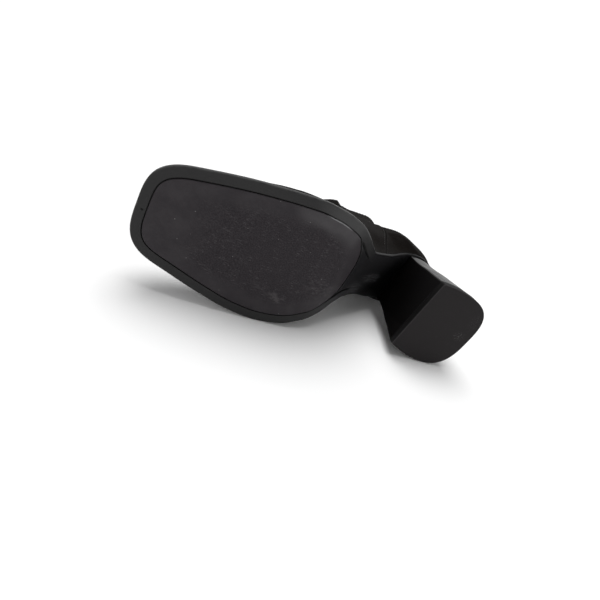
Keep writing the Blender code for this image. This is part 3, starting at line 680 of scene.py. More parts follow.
seam_mm = from_seam(skin)
lapped = part_way(seam_mm, -LAP_SLOPE, 2 * LAP_SLOPE) * part_way(-seam_mm, -LAP_REACH, LAP_REACH)
skin = rested(seated(skin + outward * (LAP_STEP * lapped * edge_fade)[..., None], fine_rows))
row_steps = np.linalg.norm(np.diff(skin, axis=0), axis=2)
collar_mm = np.concatenate([np.cumsum(row_steps[::-1], axis=0)[::-1], np.zeros((1, skin.shape[1]))])
half_run = np.cumsum(np.linalg.norm(np.diff(skin, axis=1), axis=2), axis=1)
half_run = np.concatenate([np.zeros((len(skin), 1)), half_run], axis=1)
from_edge = np.minimum(half_run, half_run[:, -1:] - half_run)
base_mm = np.where(fine_rows[:, None] < CLOSED_ROW, from_edge, FAR_AWAY)
base_mm[:TOE_ROWS] = np.minimum(base_mm[:TOE_ROWS], np.cumsum(row_steps[:TOE_ROWS], axis=0))
back_mm = np.where(fine_rows[:, None] > BACK_ROW, from_edge, FAR_AWAY)

leather = Finish("black_leather", Coat_Roughness=0.27, Coat_IOR=2.2, Specular_IOR_Level=0.0)
leather_at = leather.place()
grain = leather.cells(leather_at, 0.85)
fine_grain = leather.cells(leather_at, 2.1)
pull = leather.noise(leather.place((0.05, 0.09, 0.16)), 1.0, 5.0, 0.6)
bloom = leather.noise(leather_at, 0.035, 4.0, 0.55)
gap_line = 1.0 - leather.ramp(abs(leather.mark("seam_mm") + 0.15), 0.15, 0.75)
top_fold = 1.0 - leather.ramp(abs(leather.mark("collar_mm") - COLLAR_FOLD), 0.2, 0.9)
back_line = 1.0 - leather.ramp(abs(leather.mark("back_mm")), 0.1, 0.7)
dust = (1.0 - leather.ramp(leather.mark("base_mm"), 0.5, 9.0)) * leather.ramp(bloom, 0.35, 0.7)
lines = gap_line.larger(back_line)
worn = leather.ramp(leather.mark("crease_mm"), 0.02, 0.30)
tone = leather.coats(
    leather.mix(bloom, (0.0034, 0.0026, 0.0022), (0.0068, 0.0052, 0.0044)),
    (worn * 0.25, (0.022, 0.018, 0.016)),
    (dust * 0.20, (0.040, 0.036, 0.032)),
    (lines * 0.75, (0.0012, 0.0010, 0.0009)))
relief = leather.bump(grain, 0.00022, 0.35, leather.bump(fine_grain, 0.0001, 0.30))
relief = leather.bump(pull, 0.0012, 0.30, relief)
relief = leather.bump(1.0 - 0.6 * lines - 0.5 * top_fold, 0.0006, 0.9, relief)
leather.feed(
    Base_Color=tone,
    Roughness=0.42 + 0.18 * bloom + 0.14 * worn + 0.2 * dust,
    Coat_Weight=(0.072 - 0.050 * bloom) * (0.45 + 0.8 * grain + 0.6 * fine_grain) * (1.0 - 0.8 * lines),
    Normal=relief)

lining = Finish("lining_leather", Specular_IOR_Level=0.12)
lining_soft = lining.noise(lining.place(), 0.05, 4.0)
lining.feed(
    Base_Color=lining.mix(lining_soft, (0.022, 0.018, 0.015), (0.045, 0.036, 0.030)),
    Roughness=0.60 + 0.2 * lining_soft,
    Normal=lining.bump(lining.cells(lining.place(), 1.2), 0.0002, 0.35))

upper = piece_of("upper_leather", [skin], [leather.material, lining.material], {
    "crease_mm": [crease], "seam_mm": [seam_mm], "collar_mm": [collar_mm], "base_mm": [base_mm],
    "back_mm": [back_mm]}, sharp=75.0)
wall = upper.modifiers.new("wall", "SOLIDIFY")
wall.thickness = UPPER_WALL * MM
wall.offset = -1.0
wall.use_even_offset = True
wall.use_quality_normals = True
wall.material_offset = 1
wall.material_offset_rim = 0
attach(upper, "root")
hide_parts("upper")

# The stitching: black bonded thread pulled a little into the leather, one row under the collar's folded edge
# and one row in front of each side seam, all about seven stitches to the inch.

STITCH_PITCH = 3.4
STITCH_LONG = 2.5
STITCH_THICK = 0.55
STITCH_LIFT = 0.08
STITCH_BLUNT = 0.6
TILT_STEPS = 7
SPIN_STEPS = 9
COLLAR_ROW = 2.6
SEAM_ROW = 2.2
SEAM_ENDS = slice(3, -6)


def stitched(path, square):
    """A row of stitches along a path on the skin: at each even step an ellipsoid with blunt ends, long in
    the path's direction, given as a grid of tilt and spin. Each is lifted square to the skin, by less than
    half its thickness."""
    run = run_of(path)
    at = np.arange(STITCH_PITCH / 2, run[-1], STITCH_PITCH)
    up = unit(points_at(at, run, square))
    along = unit(points_at(at + 0.5, run, path) - points_at(at - 0.5, run, path))
    tilt = np.linspace(-math.pi / 2, math.pi / 2, TILT_STEPS)[:, None]
    spin = np.linspace(0.0, 2 * math.pi, SPIN_STEPS)[None]
    ring = STITCH_THICK / 2 * np.cos(tilt) ** STITCH_BLUNT
    shape = np.stack([
        STITCH_LONG / 2 * np.sin(tilt) * np.ones_like(spin),
        ring * np.cos(spin), ring * np.sin(spin)], axis=-1)
    axes = np.stack([along, np.cross(up, along), up], axis=1)
    middle = points_at(at, run, path) + STITCH_LIFT * up
    return middle[:, None, None] + np.einsum("tsk,nkc->ntsc", shape, axes)


row_numbers = np.arange(len(skin))
collar_rows = np.array([np.interp(-COLLAR_ROW, -column, row_numbers) for column in collar_mm.T])
thread_rows = [stitched(at_rows(skin, collar_rows), at_rows(outward, collar_rows))]
for side in (1, -1):
    line, square = beside_seam(side, SEAM_ROW)
    thread_rows.append(stitched(line[SEAM_ENDS], square[SEAM_ENDS]))
thread_nets = list(rested(np.concatenate(thread_rows)))

thread = Finish("black_thread", Specular_IOR_Level=0.15)
twist = thread.noise(thread.place(), 2.5, 2.0)
thread.feed(
    Base_Color=thread.mix(twist, (0.006, 0.0055, 0.005), (0.020, 0.018, 0.017)),
    Roughness=0.45 + 0.2 * twist,
    Normal=thread.bump(twist, 0.0001, 0.4))
stitching = piece_of("stitching", thread_nets, [thread.material], weld=0.0005, sharp=80.0)
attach(stitching, "root")

# The outsole: moulded black rubber from toe to seat, cemented to the lasted upper. A flat rim runs round the
# forepart and a shallow pocket in it takes the tread panel. Behind it the thin waist climbs to the heel seat.

EDGE_ROUND = 0.8
TOP_EDGE = 0.48
RIM_WIDTH = 6.2
GROOVE_WIDTH = 0.7
POCKET_DEPTH = 2.2
PANEL_REAR = np.array([
    # x, y from the outer side to the inner side
    (116.4, 27.4), (113.4, 23.7), (111.3, 19.2), (109.9, 13.8), (109.3, 7.0), (109.5, 0.8), (110.0, -5.0),
    (111.2, -10.4), (114.2, -15.8)])
RIM_END = 116.6
RIM_STEPS = 10
REAR_STEPS = 61
ROUND_STEPS = 6
WAIST_HOLLOW = 0.8
HOLLOW_SLOPE = 1.2
HOLLOW_FROM = 84.0
HOLLOW_RUN = 22.0
PANEL_FADE = 2.0
ROW_STEP = 0.6
WALL_MARK = 4.0
LINE_INSET = 6.9
LINE_HALF = 0.6
LINE_DEPTH = 0.6
LINE_END = 95.0
LINE_FADE = 6.0
POINTS_AT_ONCE = 4000


def panel_border(distance, spread):
    """Sides and rear edge of the forepart panel: the sole's edges moved inwards, cut at the rim's end, and
    a smooth rear line between them, spread to the rear by a distance."""
    sides = [edge[rim_end:] for edge in inset_edges(distance)]
    rear = np.concatenate([sides[0][:1], PANEL_REAR, sides[1][:1]])
    along = unit(np.gradient(rear, axis=0))
    rear[1:-1] += spread * np.stack([along[1:-1, 1], -along[1:-1, 0]], axis=1)
    run = run_of(rear)
    at = np.linspace(0.0, run[-1], REAR_STEPS)
    return sides, np.stack([through(run, rear[:, k], at) for k in range(2)], axis=1)


def panel_net(sides, rear):
    """The net over the panel's plan: between its two sides and its rear, with the last points of both sides
    as its front."""
    last = len(sides[0]) - (REAR_STEPS + 1) // 2
    front = np.concatenate([sides[0][last:], sides[1][last:-1][::-1]])
    return patch(sides[0][:last + 1], sides[1][:last + 1], rear, front)


def panel_loop(sides, rear):
    """The closed border of the panel: outer side, inner side back, rear edge back to the start."""
    return np.concatenate([sides[0], sides[1][::-1][1:], rear[::-1][1:]])


def quarter_round(radius):
    """Inset and rise of a rounded edge, from the face round to the side."""
    angle = np.linspace(0.0, math.pi / 2, ROUND_STEPS)
    return np.stack([radius * (1 - np.sin(angle)), radius * (1 - np.cos(angle))], axis=1)


def near_path(flat, path):
    """Distance of plan points from a path: the nearest of its points."""
    shape = flat.shape[:-1]
    flat = flat.reshape(-1, 2)
    parts = [np.sqrt(((part[:, None] - path[None]) ** 2).sum(axis=2).min(axis=1))
             for part in np.array_split(flat, max(1, len(flat) // POINTS_AT_ONCE))]
    return np.concatenate(parts).reshape(shape)


def spot(finish, x, y, spread_x, spread_y):
    """A soft round patch on the ground side at x, y: one at its middle, nought at its edge."""
    to_x = (finish.axis("X") - x) / spread_x
    to_y = (finish.axis("Y") - y) / spread_y
    return 1.0 - finish.ramp(to_x * to_x + to_y * to_y, 0.05, 1.0)


edge_x = sole_edges()[0][:, 0]
rim_end = int(np.argmin(np.abs(edge_x - RIM_END)))
ground_edges = inset_edges(EDGE_ROUND)
pocket_sides, pocket_rear = panel_border(RIM_WIDTH, GROOVE_WIDTH)
rim_insets = np.linspace(EDGE_ROUND, RIM_WIDTH, RIM_STEPS)
rim_rows = []
for inset in rim_insets:
    lateral, medial = inset_edges(inset)
    rim_rows.append(np.concatenate([lateral[rim_end:], medial[rim_end:][::-1][1:]]))
rim = np.stack(rim_rows)
waist_front = np.concatenate([rim[:, 0], pocket_rear[1:-1], rim[::-1, -1]])
seat_count = (len(waist_front) + 1) // 2
waist_sides = slice(seat_count - 1, rim_end + 1)
waist = patch(
    ground_edges[0][waist_sides], ground_edges[1][waist_sides],
    np.concatenate([ground_edges[0][:seat_count][::-1], ground_edges[1][1:seat_count]]), waist_front)
waist_edge = near_path(waist, closed_loop(sole_edges())[::2])
behind_panel = np.linspace(1.0, 0.0, len(waist))[:, None] * (len(waist) * ROW_STEP)
panel_fade = part_way(behind_panel, 0.0, PANEL_FADE)
hollow = eased(part_way(waist_edge, RIM_WIDTH, HOLLOW_SLOPE) * panel_fade)
hollow *= part_way(waist[..., 0], HOLLOW_FROM, HOLLOW_RUN)
line_cut = np.exp(-((waist_edge - LINE_INSET) / LINE_HALF) ** 2) * panel_fade
line_cut *= part_way(waist[..., 0], LINE_END, LINE_FADE)
side_rings = []
side_marks = []
for inset, rise in quarter_round(EDGE_ROUND):
    loop = closed_loop(inset_edges(inset))
    side_rings.append(raised(loop, under(loop[:, 0]) + rise))
    side_marks.append(np.full(len(loop), inset))
for inset, drop in ((0.0, TOP_EDGE), (TOP_EDGE, 0.0)):
    loop = closed_loop(inset_edges(inset))
    side_rings.append(raised(loop, sole_top(loop[:, 0]) - drop))
    side_marks.append(np.full(len(loop), WALL_MARK))
top_net = whole_patch(inset_edges(TOP_EDGE))
pocket_loop = panel_loop(pocket_sides, pocket_rear)
pocket_floor = panel_net(pocket_sides, pocket_rear)
sole_nets = [
    raised(rim, under),
    raised(waist, under(waist[..., 0]) + WAIST_HOLLOW * hollow + LINE_DEPTH * line_cut),
    np.stack(side_rings),
    raised(top_net, sole_top),
    np.stack([raised(pocket_loop, under), raised(pocket_loop, under(pocket_loop[:, 0]) + POCKET_DEPTH)]),
    raised(pocket_floor, under(pocket_floor[..., 0]) + POCKET_DEPTH)]
edge_marks = [
    np.broadcast_to(rim_insets[:, None], rim.shape[:2]), waist_edge, np.stack(side_marks),
    np.full(top_net.shape[:2], WALL_MARK), np.full((2, len(pocket_loop)), RIM_WIDTH),
    np.full(pocket_floor.shape[:2], RIM_WIDTH)]
# The wall mark is one on the sole's side above its rounded edge, and on its upper face.
wall_marks = [np.zeros(net.shape[:2]) for net in sole_nets]
wall_marks[2][-2:] = 1.0
wall_marks[3][:] = 1.0

rubber = Finish("sole_rubber", Specular_IOR_Level=0.14, Coat_Roughness=0.32, Coat_IOR=2.2)
rubber_at = rubber.place()
edge_away = rubber.mark("edge_mm")
on_wall = rubber.mark("wall")
sole_x = rubber.axis("X")
sole_y = rubber.axis("Y")
skin_noise = rubber.noise(rubber_at, 0.9, 3.0)
cloud = rubber.noise(rubber_at, 0.05, 4.0)
rub = rubber.noise(rubber.place((0.10, 2.4, 0.10), (0.0, 0.0, 0.12)), 1.0, 3.0, 0.6)
hair = rubber.ramp(rub, 0.62, 0.70)
rim_band = (1.0 - rubber.ramp(edge_away, RIM_WIDTH, LINE_INSET)) * rubber.ramp(sole_x, 90.0, 104.0)
rim_band = rim_band * rubber.ramp(sole_y + 0.5 * (sole_x - 112.0), -14.0, 0.0)
# rear_share: the waist behind the panel, less the rim band along its outer edge. It carries the waist's
# painted shade.
rear_share = (1.0 - rubber.ramp(sole_x, 104.0, 119.0)) * (1.0 - rim_band)
rim_polish = spot(rubber, 128.0, 42.0, 34.0, 16.0)
# A painted shadow over the rear of the waist, near black towards the heel's breast.
waist_shadow_share = 1.0 - rubber.ramp(sole_x + 1.2 * sole_y, 58.0, 82.0)
# Painted shade: the waist's rounded edge darkened, with less coat.
waist_edge_shade = (1.0 - rubber.ramp(edge_away, 0.5, 1.6)) * (1.0 - rubber.ramp(sole_x, 102.0, 114.0))
line_on = rubber.ramp(sole_x, LINE_END, LINE_END + LINE_FADE) * (1.0 - rubber.ramp(sole_x, 115.5, 116.8))
# Painted shade along the groove line on the waist, near black.
rim_groove_shade = line_on * (1.0 - rubber.ramp(abs(edge_away - LINE_INSET), 0.6, 0.95))
strokes = rubber.ramp(rub, 0.50, 0.60)
scratched = (spot(rubber, 77.0, 0.5, 15.0, 6.0) + 0.6 * spot(rubber, 92.0, -8.0, 10.0, 6.0)) * strokes
nick = spot(rubber, 247.2, -8.6, 1.2, 0.8)
# The groove's painted shade, together with a real nick on the toe's rim.
groove_shade_and_nick = rim_groove_shade.larger(nick)
sheen = 1.0 - rubber.ramp(sole_x, 88.0, 110.0)
chipped = rubber.ramp(rubber.noise(rubber_at, 0.22, 3.0), 0.36, 0.62)
worn_edge = rubber.ramp(sole_x, 104.0, 124.0) * (1.0 - rubber.ramp(edge_away, 0.1, 1.1)) * chipped
# Painted shade on the waist, painted lighter on its outer side, which faces up to the light.
waist_lit_side = rubber.ramp(sole_y, 2.0, 18.0) * (1.0 - rubber.ramp(sole_x, 80.0, 100.0))
waist_shade_tone = rubber.mix(waist_lit_side, (0.0060, 0.0058, 0.0070), (0.0110, 0.0104, 0.0120))
# The rubber's colour: painted shade over the waist, its rounded edge, the sole's side wall and the waist's
# groove line, and a painted shadow towards the heel's breast, with real wear, scratches and a nick.
rubber_tone = rubber.coats(
    rubber.mix(cloud, (0.0176, 0.0173, 0.0176), (0.0258, 0.0254, 0.0257)),
    (rear_share * 0.8, waist_shade_tone),
    (waist_shadow_share, (0.0012, 0.0012, 0.0016)),
    (worn_edge * 0.5, (0.070, 0.070, 0.068)),
    (hair * 0.12, (0.070, 0.070, 0.070)),
    (scratched * 0.55, (0.160, 0.160, 0.165)),
    (waist_edge_shade * 0.85, (0.0024, 0.0024, 0.0027)),
    # The sole's side wall is painted darker, as shade.
    (on_wall * 0.88, (0.0040, 0.0040, 0.0041)),
    (groove_shade_and_nick * 0.97, (0.0005, 0.0005, 0.0006)))
rubber_relief = rubber.bump(skin_noise, 0.00012, 0.30, rubber.bump(rub, 0.0002, 0.18))
rubber_relief = rubber.bump(1.0 - groove_shade_and_nick, 0.0005, 0.8, rubber_relief)
polished = (0.01 + 0.12 * sheen * rear_share + 0.14 * rim_polish) * (1.0 - waist_shadow_share)
rubber.feed(
    Base_Color=rubber_tone,
    Roughness=0.46 + 0.14 * cloud + 0.12 * worn_edge,
    Coat_Weight=polished * (1.0 - groove_shade_and_nick) * (1.0 - 0.9 * waist_edge_shade) * (1.0 - 0.6 * on_wall),
    Normal=rubber_relief)
outsole = piece_of("outsole_rubber", sole_nets, [rubber.material], {
    "edge_mm": edge_marks, "wall": wall_marks}, sharp=50.0)
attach(outsole, "root")
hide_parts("outsole")

# The tread panel: a harder wearing sheet of rubber set into the forepart's pocket, a little proud of the rim.
# Its edge is rounded over the groove. It is the face that is walked on, so it is dull, speckled and scuffed.

PANEL_PROUD = 0.4
PANEL_EDGE = 0.56
PANEL_CLEAR = 0.1

panel_sides, panel_rear = panel_border(RIM_WIDTH + GROOVE_WIDTH, 0.0)
panel_rim = panel_loop(panel_sides, panel_rear)
panel_inward = inward_of(panel_rim[:-1])
panel_inward = np.concatenate([panel_inward, panel_inward[:1]])
panel_rings = []
for inset, rise in quarter_round(PANEL_EDGE):
    ring = panel_rim + panel_inward * inset
    panel_rings.append(raised(ring, under(ring[:, 0]) - PANEL_PROUD + rise))
panel_rings.append(raised(panel_rim, under(panel_rim[:, 0]) + POCKET_DEPTH - PANEL_CLEAR))
panel_rings = np.stack(panel_rings)
side_count = len(panel_sides[0])
face_loop = panel_rim + panel_inward * PANEL_EDGE
face_sides = [face_loop[:side_count], face_loop[side_count - 1:2 * side_count - 1][::-1]]
face_rear = np.concatenate([face_loop[:1], face_loop[2 * side_count - 2:-1][::-1]])
panel_face = panel_net(face_sides, face_rear)
panel_back = panel_net(panel_sides, panel_rear)
ring_marks = np.zeros(panel_rings.shape[:2])
ring_marks[:-1] = quarter_round(PANEL_EDGE)[:, :1]
border_marks = [near_path(panel_face, panel_rim), ring_marks, near_path(panel_back, panel_rim)]

tread = Finish("tread_panel", Specular_IOR_Level=0.14, Coat_Roughness=0.28, Coat_IOR=2.2)
tread_at = tread.place()
tread_x = tread.axis("X")
border = tread.mark("border_mm")
drift = tread.noise(tread_at, 0.06, 4.0, 0.6)
trodden = tread.ramp(border + 9.0 * drift, 9.0, 19.0)
trodden = trodden * (1.0 - tread.ramp(tread_x + 24.0 * drift, 214.0, 240.0))
pebble = tread.noise(tread_at, 1.3, 3.0, 0.6)
tread_cloud = tread.noise(tread_at, 0.09, 5.0, 0.65)
hairline = None
for stretch, angle in (((0.22, 2.6, 0.5), 0.4), ((0.25, 2.2, 0.5), 1.35), ((0.20, 2.9, 0.5), 2.4)):
    strand = tread.ramp(tread.noise(tread.place(stretch, (0.0, 0.0, angle)), 1.0, 2.0, 0.55), 0.62, 0.70)
    hairline = strand if hairline is None else hairline.larger(strand)
patchy = tread.ramp(tread.noise(tread_at, 0.16, 3.0), 0.44, 0.62)
speck = 1.0 - tread.ramp(tread.cells(tread_at, 0.16), 0.025, 0.06)
dot = 1.0 - tread.ramp(tread.cells(tread_at, 0.55), 0.06, 0.16)
chafe = tread.ramp(tread.noise(tread.place((0.25, 0.7, 0.5), (0.0, 0.0, 0.3)), 0.7, 4.0, 0.65), 0.40, 0.66)
scuff = spot(tread, 154.0, -26.0, 9.0, 5.0) + 0.4 * spot(tread, 166.0, -23.0, 9.0, 4.0)
scuff = (scuff + 0.5 * spot(tread, 128.0, -10.0, 16.0, 9.0)) * chafe
polish = (1.0 - trodden) * spot(tread, 140.0, 36.0, 34.0, 16.0)
# A painted highlight along the panel's rounded edge at its outer rear corner.
painted_edge_glint = spot(tread, 139.5, 38.0, 12.0, 8.0) * (1.0 - tread.ramp(border, 0.3, 0.8))
trodden_tone = tread.mix(tread.ramp(pebble, 0.34, 0.66), (0.0140, 0.0116, 0.0138), (0.0310, 0.0268, 0.0300))
tread_tone = tread.coats(
    tread.mix(tread.ramp(tread_cloud, 0.3, 0.7), (0.0228, 0.0196, 0.0224), (0.0320, 0.0282, 0.0310)),
    (trodden * 0.85, trodden_tone),
    (trodden * patchy * hairline * 0.40, (0.115, 0.108, 0.112)),
    (trodden * patchy * dot * 0.34, (0.130, 0.126, 0.128)),
    (scuff * 0.26, (0.150, 0.140, 0.142)),
    (speck * 0.34, (0.34, 0.34, 0.34)),
    (painted_edge_glint * 0.6, (0.34, 0.34, 0.35)))
tread.feed(
    Base_Color=tread_tone,
    Roughness=0.50 + 0.24 * trodden,
    Coat_Weight=0.01 + 0.14 * polish,
    Normal=tread.bump(pebble, 0.00025, 0.2, tread.bump(tread_cloud, 0.0008, 0.2)))
panel = piece_of("tread_panel_rubber", [
    raised(panel_face, under(panel_face[..., 0]) - PANEL_PROUD), panel_rings,
    raised(panel_back, under(panel_back[..., 0]) + POCKET_DEPTH - PANEL_CLEAR)], [tread.material], {
        "border_mm": border_marks}, sharp=60.0)
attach(panel, "root")
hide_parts("tread_panel")

# The heel: a moulded block about 75 mm high, lacquered black, screwed and cemented to the seat from inside.
# Its back and sides are round, its breast is flat, and it flares towards the ground.

HEEL_TURN = math.radians(5.9)
HEEL_MIDDLE = HEEL_SPOT[:2]
TOP_PIECE = 5.0
LAYER_GAP = 0.25
HEEL_SEAT_CLEAR = 0.1
HEEL_GROUND = {"rear": 0.0, "breast": 53.5, "breast_half": 29.0, "half": 31.4, "widest": 33.0}
HEEL_SEAT = {"rear": 4.2, "breast": 44.6, "breast_half": 24.1, "half": 26.0, "widest": 28.0}
HEEL_POWER = {"seat": 2.4, "outer": 3.15, "inner": 2.8}
HEEL_FLARE = 1.25
HEEL_CORNER = 1.6
HEEL_FOOT_ROUND = 0.5
FIRST_LIFT = 0.02
LIFT_STEPS = 40
FACE_STEPS = 24
CORNER_STEPS = 8
SIDE_STEPS = 24
BACK_STEPS = 60
BREAST_POINTS = FACE_STEPS + 2
SEAT_LEDGE = 0.9
SEAT_DRAWN_FROM = 0.45
SEAT_SOFT = 3.0


def heel_half(size, power):
    """Half of a section of the heel, from the breast's middle round its small corner, along the side on a
    quarter sine, and round the back on a superellipse of a power."""
    face = np.linspace(0.0, size["breast_half"] - HEEL_CORNER, FACE_STEPS)
    bend = np.linspace(0.0, math.pi / 2, CORNER_STEPS)[1:]
    side = np.linspace(0.0, 1.0, SIDE_STEPS)[1:]
    back = np.linspace(0.0, math.pi / 2, BACK_STEPS)[1:]
    x = np.concatenate([
        np.full(len(face), size["breast"]), size["breast"] - HEEL_CORNER * (1 - np.cos(bend)),
        size["breast"] - HEEL_CORNER + (size["widest"] - size["breast"] + HEEL_CORNER) * side,
        size["widest"] - (size["widest"] - size["rear"]) * np.sin(back) ** (2 / power)])
    y = np.concatenate([
        face, size["breast_half"] - HEEL_CORNER * (1 - np.sin(bend)),
        size["breast_half"] + (size["half"] - size["breast_half"]) * np.sin(side * math.pi / 2),
        size["half"] * np.maximum(np.cos(back), 0.0) ** (2 / power)])
    return np.stack([x, y], axis=1)


def heel_ring(lift, inset=0.0):
    """Closed section of the heel at a lift from 0 at the ground to 1 at the seat: sizes and powers between
    the two, the outer half, then the inner half mirrored, drawn in by an inset and turned outwards a
    little."""
    share = (1.0 - lift) ** HEEL_FLARE
    size = {key: HEEL_SEAT[key] + (HEEL_GROUND[key] - HEEL_SEAT[key]) * share for key in HEEL_SEAT}
    seat_power = HEEL_POWER["seat"]
    outer, inner = [
        heel_half(size, seat_power + (HEEL_POWER[side] - seat_power) * share) for side in ("outer", "inner")]
    ring = np.concatenate([outer, (inner * (1.0, -1.0))[::-1][1:]])
    centre = np.array([(size["breast"] + size["rear"]) / 2, 0.0])
    half_size = np.array([(size["breast"] - size["rear"]) / 2, size["half"]])
    ring = centre + (ring - centre) * (1.0 - inset / half_size)
    cosine, sine = math.cos(HEEL_TURN), math.sin(HEEL_TURN)
    return (ring - HEEL_MIDDLE) @ np.array([[cosine, sine], [-sine, cosine]]) + HEEL_MIDDLE


def held_under(ring, lift):
    """A section of the heel drawn in under the sole: what stands outside the sole's edge, by a soft step
    log(1 + e^2d) / 2, moves in square to it, all of it at the seat and less further down. The edge's place
    and direction are means over its nearest points, by weights e^(-d^2) that fade a few millimetres
    away."""
    loop = closed_loop(inset_edges(SEAT_LEDGE))[:-1]
    inward = inward_of(loop)
    gap = ring[:, None] - loop[None]
    far = (gap ** 2).sum(axis=2)
    weight = np.exp((far.min(axis=1, keepdims=True) - far) / SEAT_SOFT ** 2)
    weight /= weight.sum(axis=1, keepdims=True)
    outside = -(weight * (gap * inward[None]).sum(axis=2)).sum(axis=1)
    share = eased(part_way(lift, SEAT_DRAWN_FROM, 1.0 - SEAT_DRAWN_FROM))
    return ring + unit(weight @ inward) * (share * np.logaddexp(0.0, 2 * outside) / 2)[:, None]


def ring_cap(ring):
    """A net closing a ring: each point behind the breast on the outer side joined to its mirrored point on
    the inner side. Its first column lies on the breast's own points."""
    behind = slice(FACE_STEPS - 1, (len(ring) + 1) // 2)
    share = np.linspace(0.0, 1.0, 2 * FACE_STEPS - 1)[:, None, None]
    net = (1 - share) * ring[behind][None] + share * ring[::-1][behind][None]
    net[:, 0] = np.concatenate([ring[FACE_STEPS - 1::-1], ring[::-1][1:FACE_STEPS]])
    return net


heel_floor = TOP_PIECE + LAYER_GAP
heel_rings = [
    raised(heel_ring(0.0, inset), heel_floor + rise) for inset, rise in quarter_round(HEEL_FOOT_ROUND)]
for lift in np.linspace(FIRST_LIFT, 1.0, LIFT_STEPS):
    ring = held_under(heel_ring(lift), lift)
    heel_rings.append(raised(ring, heel_floor + (under(ring[:, 0]) - HEEL_SEAT_CLEAR - heel_floor) * lift))
heel_rings = np.stack(heel_rings)
heel_caps = [ring_cap(heel_rings[0]), ring_cap(heel_rings[-1])]
on_breast = np.zeros(heel_rings.shape[:2])
on_breast[:, :BREAST_POINTS] = 1.0
on_breast[:, -BREAST_POINTS:] = 1.0
cap_shape = heel_caps[0].shape[:2]
cap_breast = np.broadcast_to(on_breast[0, FACE_STEPS - 1:][:cap_shape[1]], cap_shape)

lacquer = Finish("heel_lacquer", Coat_Roughness=0.10, Coat_IOR=2.2, Specular_IOR_Level=0.0)
lacquer_at = lacquer.place()
orange_peel = lacquer.noise(lacquer_at, 0.35, 3.0)
streak = lacquer.noise(lacquer.place((0.6, 0.6, 0.03)), 1.0, 4.0, 0.6)
smear = lacquer.noise(lacquer_at, 0.04, 4.0)
nicks = lacquer.ramp(lacquer.noise(lacquer.place((0.4, 0.4, 1.4)), 0.8, 4.0, 0.7), 0.70, 0.78)
breast = lacquer.mark("breast")
# A painted reflection on the breast, lighter towards the outer side and the ground end.
breast_reflection = breast * lacquer.ramp(lacquer.axis("Y") - 0.9 * lacquer.axis("Z"), -45.0, 25.0)
lacquer_tone = lacquer.coats(
    lacquer.mix(smear, (0.0020, 0.0018, 0.0018), (0.0046, 0.0042, 0.0041)),
    (breast_reflection * 0.85, (0.0098, 0.0091, 0.0095)),
    (nicks * 0.15, (0.060, 0.057, 0.055)))
lacquer.feed(
    Base_Color=lacquer_tone,
    Roughness=0.30 + 0.16 * smear + 0.10 * nicks,
    Coat_Weight=(0.42 - 0.22 * smear) * (1.0 - 0.9 * breast),
    Normal=lacquer.bump(orange_peel, 0.0003, 0.12, lacquer.bump(streak, 0.0004, 0.06)))
heel = piece_of("heel_block_lacquered", [heel_caps[0], heel_rings, heel_caps[1]], [lacquer.material], {
    "breast": [cap_breast, on_breast, cap_breast]}, sharp=50.0)
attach(heel, "root")
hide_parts("heel_block")

# The top piece: the heel's wearing layer of hard black rubber, nailed and glued under the block and trimmed
# flush with it. Its ground face is dull and carries small pale scuffs from walking.

TOP_PIECE_ROUND = 0.3
FROM_EDGE = 2.0

top_rings = [raised(heel_ring(0.0, inset), rise) for inset, rise in quarter_round(EDGE_ROUND)]
for inset, rise in quarter_round(TOP_PIECE_ROUND)[::-1]:
    top_rings.append(raised(heel_ring(0.0, inset), TOP_PIECE - rise))
top_rings = np.stack(top_rings)
top_caps = [ring_cap(top_rings[0]), ring_cap(top_rings[-1])]
top_away = np.concatenate([quarter_round(EDGE_ROUND)[:, 0], np.full(ROUND_STEPS, FROM_EDGE)])
cap_marks = np.full(top_caps[0].shape[:2], FROM_EDGE)
top_marks = [cap_marks, np.broadcast_to(top_away[:, None], top_rings.shape[:2]), cap_marks]
top_walls = [np.zeros(cap_marks.shape), np.ones(top_rings.shape[:2]), np.ones(cap_marks.shape)]
top_walls[1][:ROUND_STEPS - 1] = 0.0

lift_rubber = Finish("top_piece_rubber", Specular_IOR_Level=0.12)
lift_at = lift_rubber.place()
lift_cloud = lift_rubber.noise(lift_at, 0.06, 5.0, 0.6)
lift_grain = lift_rubber.noise(lift_at, 1.5, 3.0, 0.6)
lift_smear = lift_rubber.noise(lift_rubber.place((0.9, 0.3, 0.6), (0.0, 0.0, 0.7)), 1.0, 5.0, 0.7)
lift_chalk = lift_rubber.ramp(lift_smear, 0.60, 0.74)
lift_dot = 1.0 - lift_rubber.ramp(lift_rubber.cells(lift_at, 0.30), 0.03, 0.09)
# A painted highlight along the top piece's rounded ground edge.
lift_edge_highlight = 1.0 - lift_rubber.ramp(lift_rubber.mark("edge_mm"), 0.15, 0.7)
lift_stroke = lift_rubber.noise(lift_rubber.place((0.5, 1.7, 1.0), (0.0, 0.0, 0.9)), 1.0, 3.0, 0.6)
lift_rub = spot(lift_rubber, 10.5, 0.3, 6.5, 5.0) + 0.35 * spot(lift_rubber, 7.0, 15.0, 6.0, 10.0)
lift_rub = lift_rub * lift_rubber.ramp(lift_stroke, 0.52, 0.64)
lift_tone = lift_rubber.coats(
    lift_rubber.mix(lift_cloud, (0.0140, 0.0124, 0.0130), (0.0190, 0.0170, 0.0176)),
    (lift_chalk * 0.16, (0.085, 0.080, 0.082)),
    (lift_dot * 0.20, (0.110, 0.105, 0.107)),
    (lift_rub * 0.30, (0.150, 0.142, 0.145)),
    (lift_edge_highlight * 0.22, (0.110, 0.104, 0.106)),
    (lift_rubber.mark("wall") * 0.9, (0.0030, 0.0028, 0.0028)))
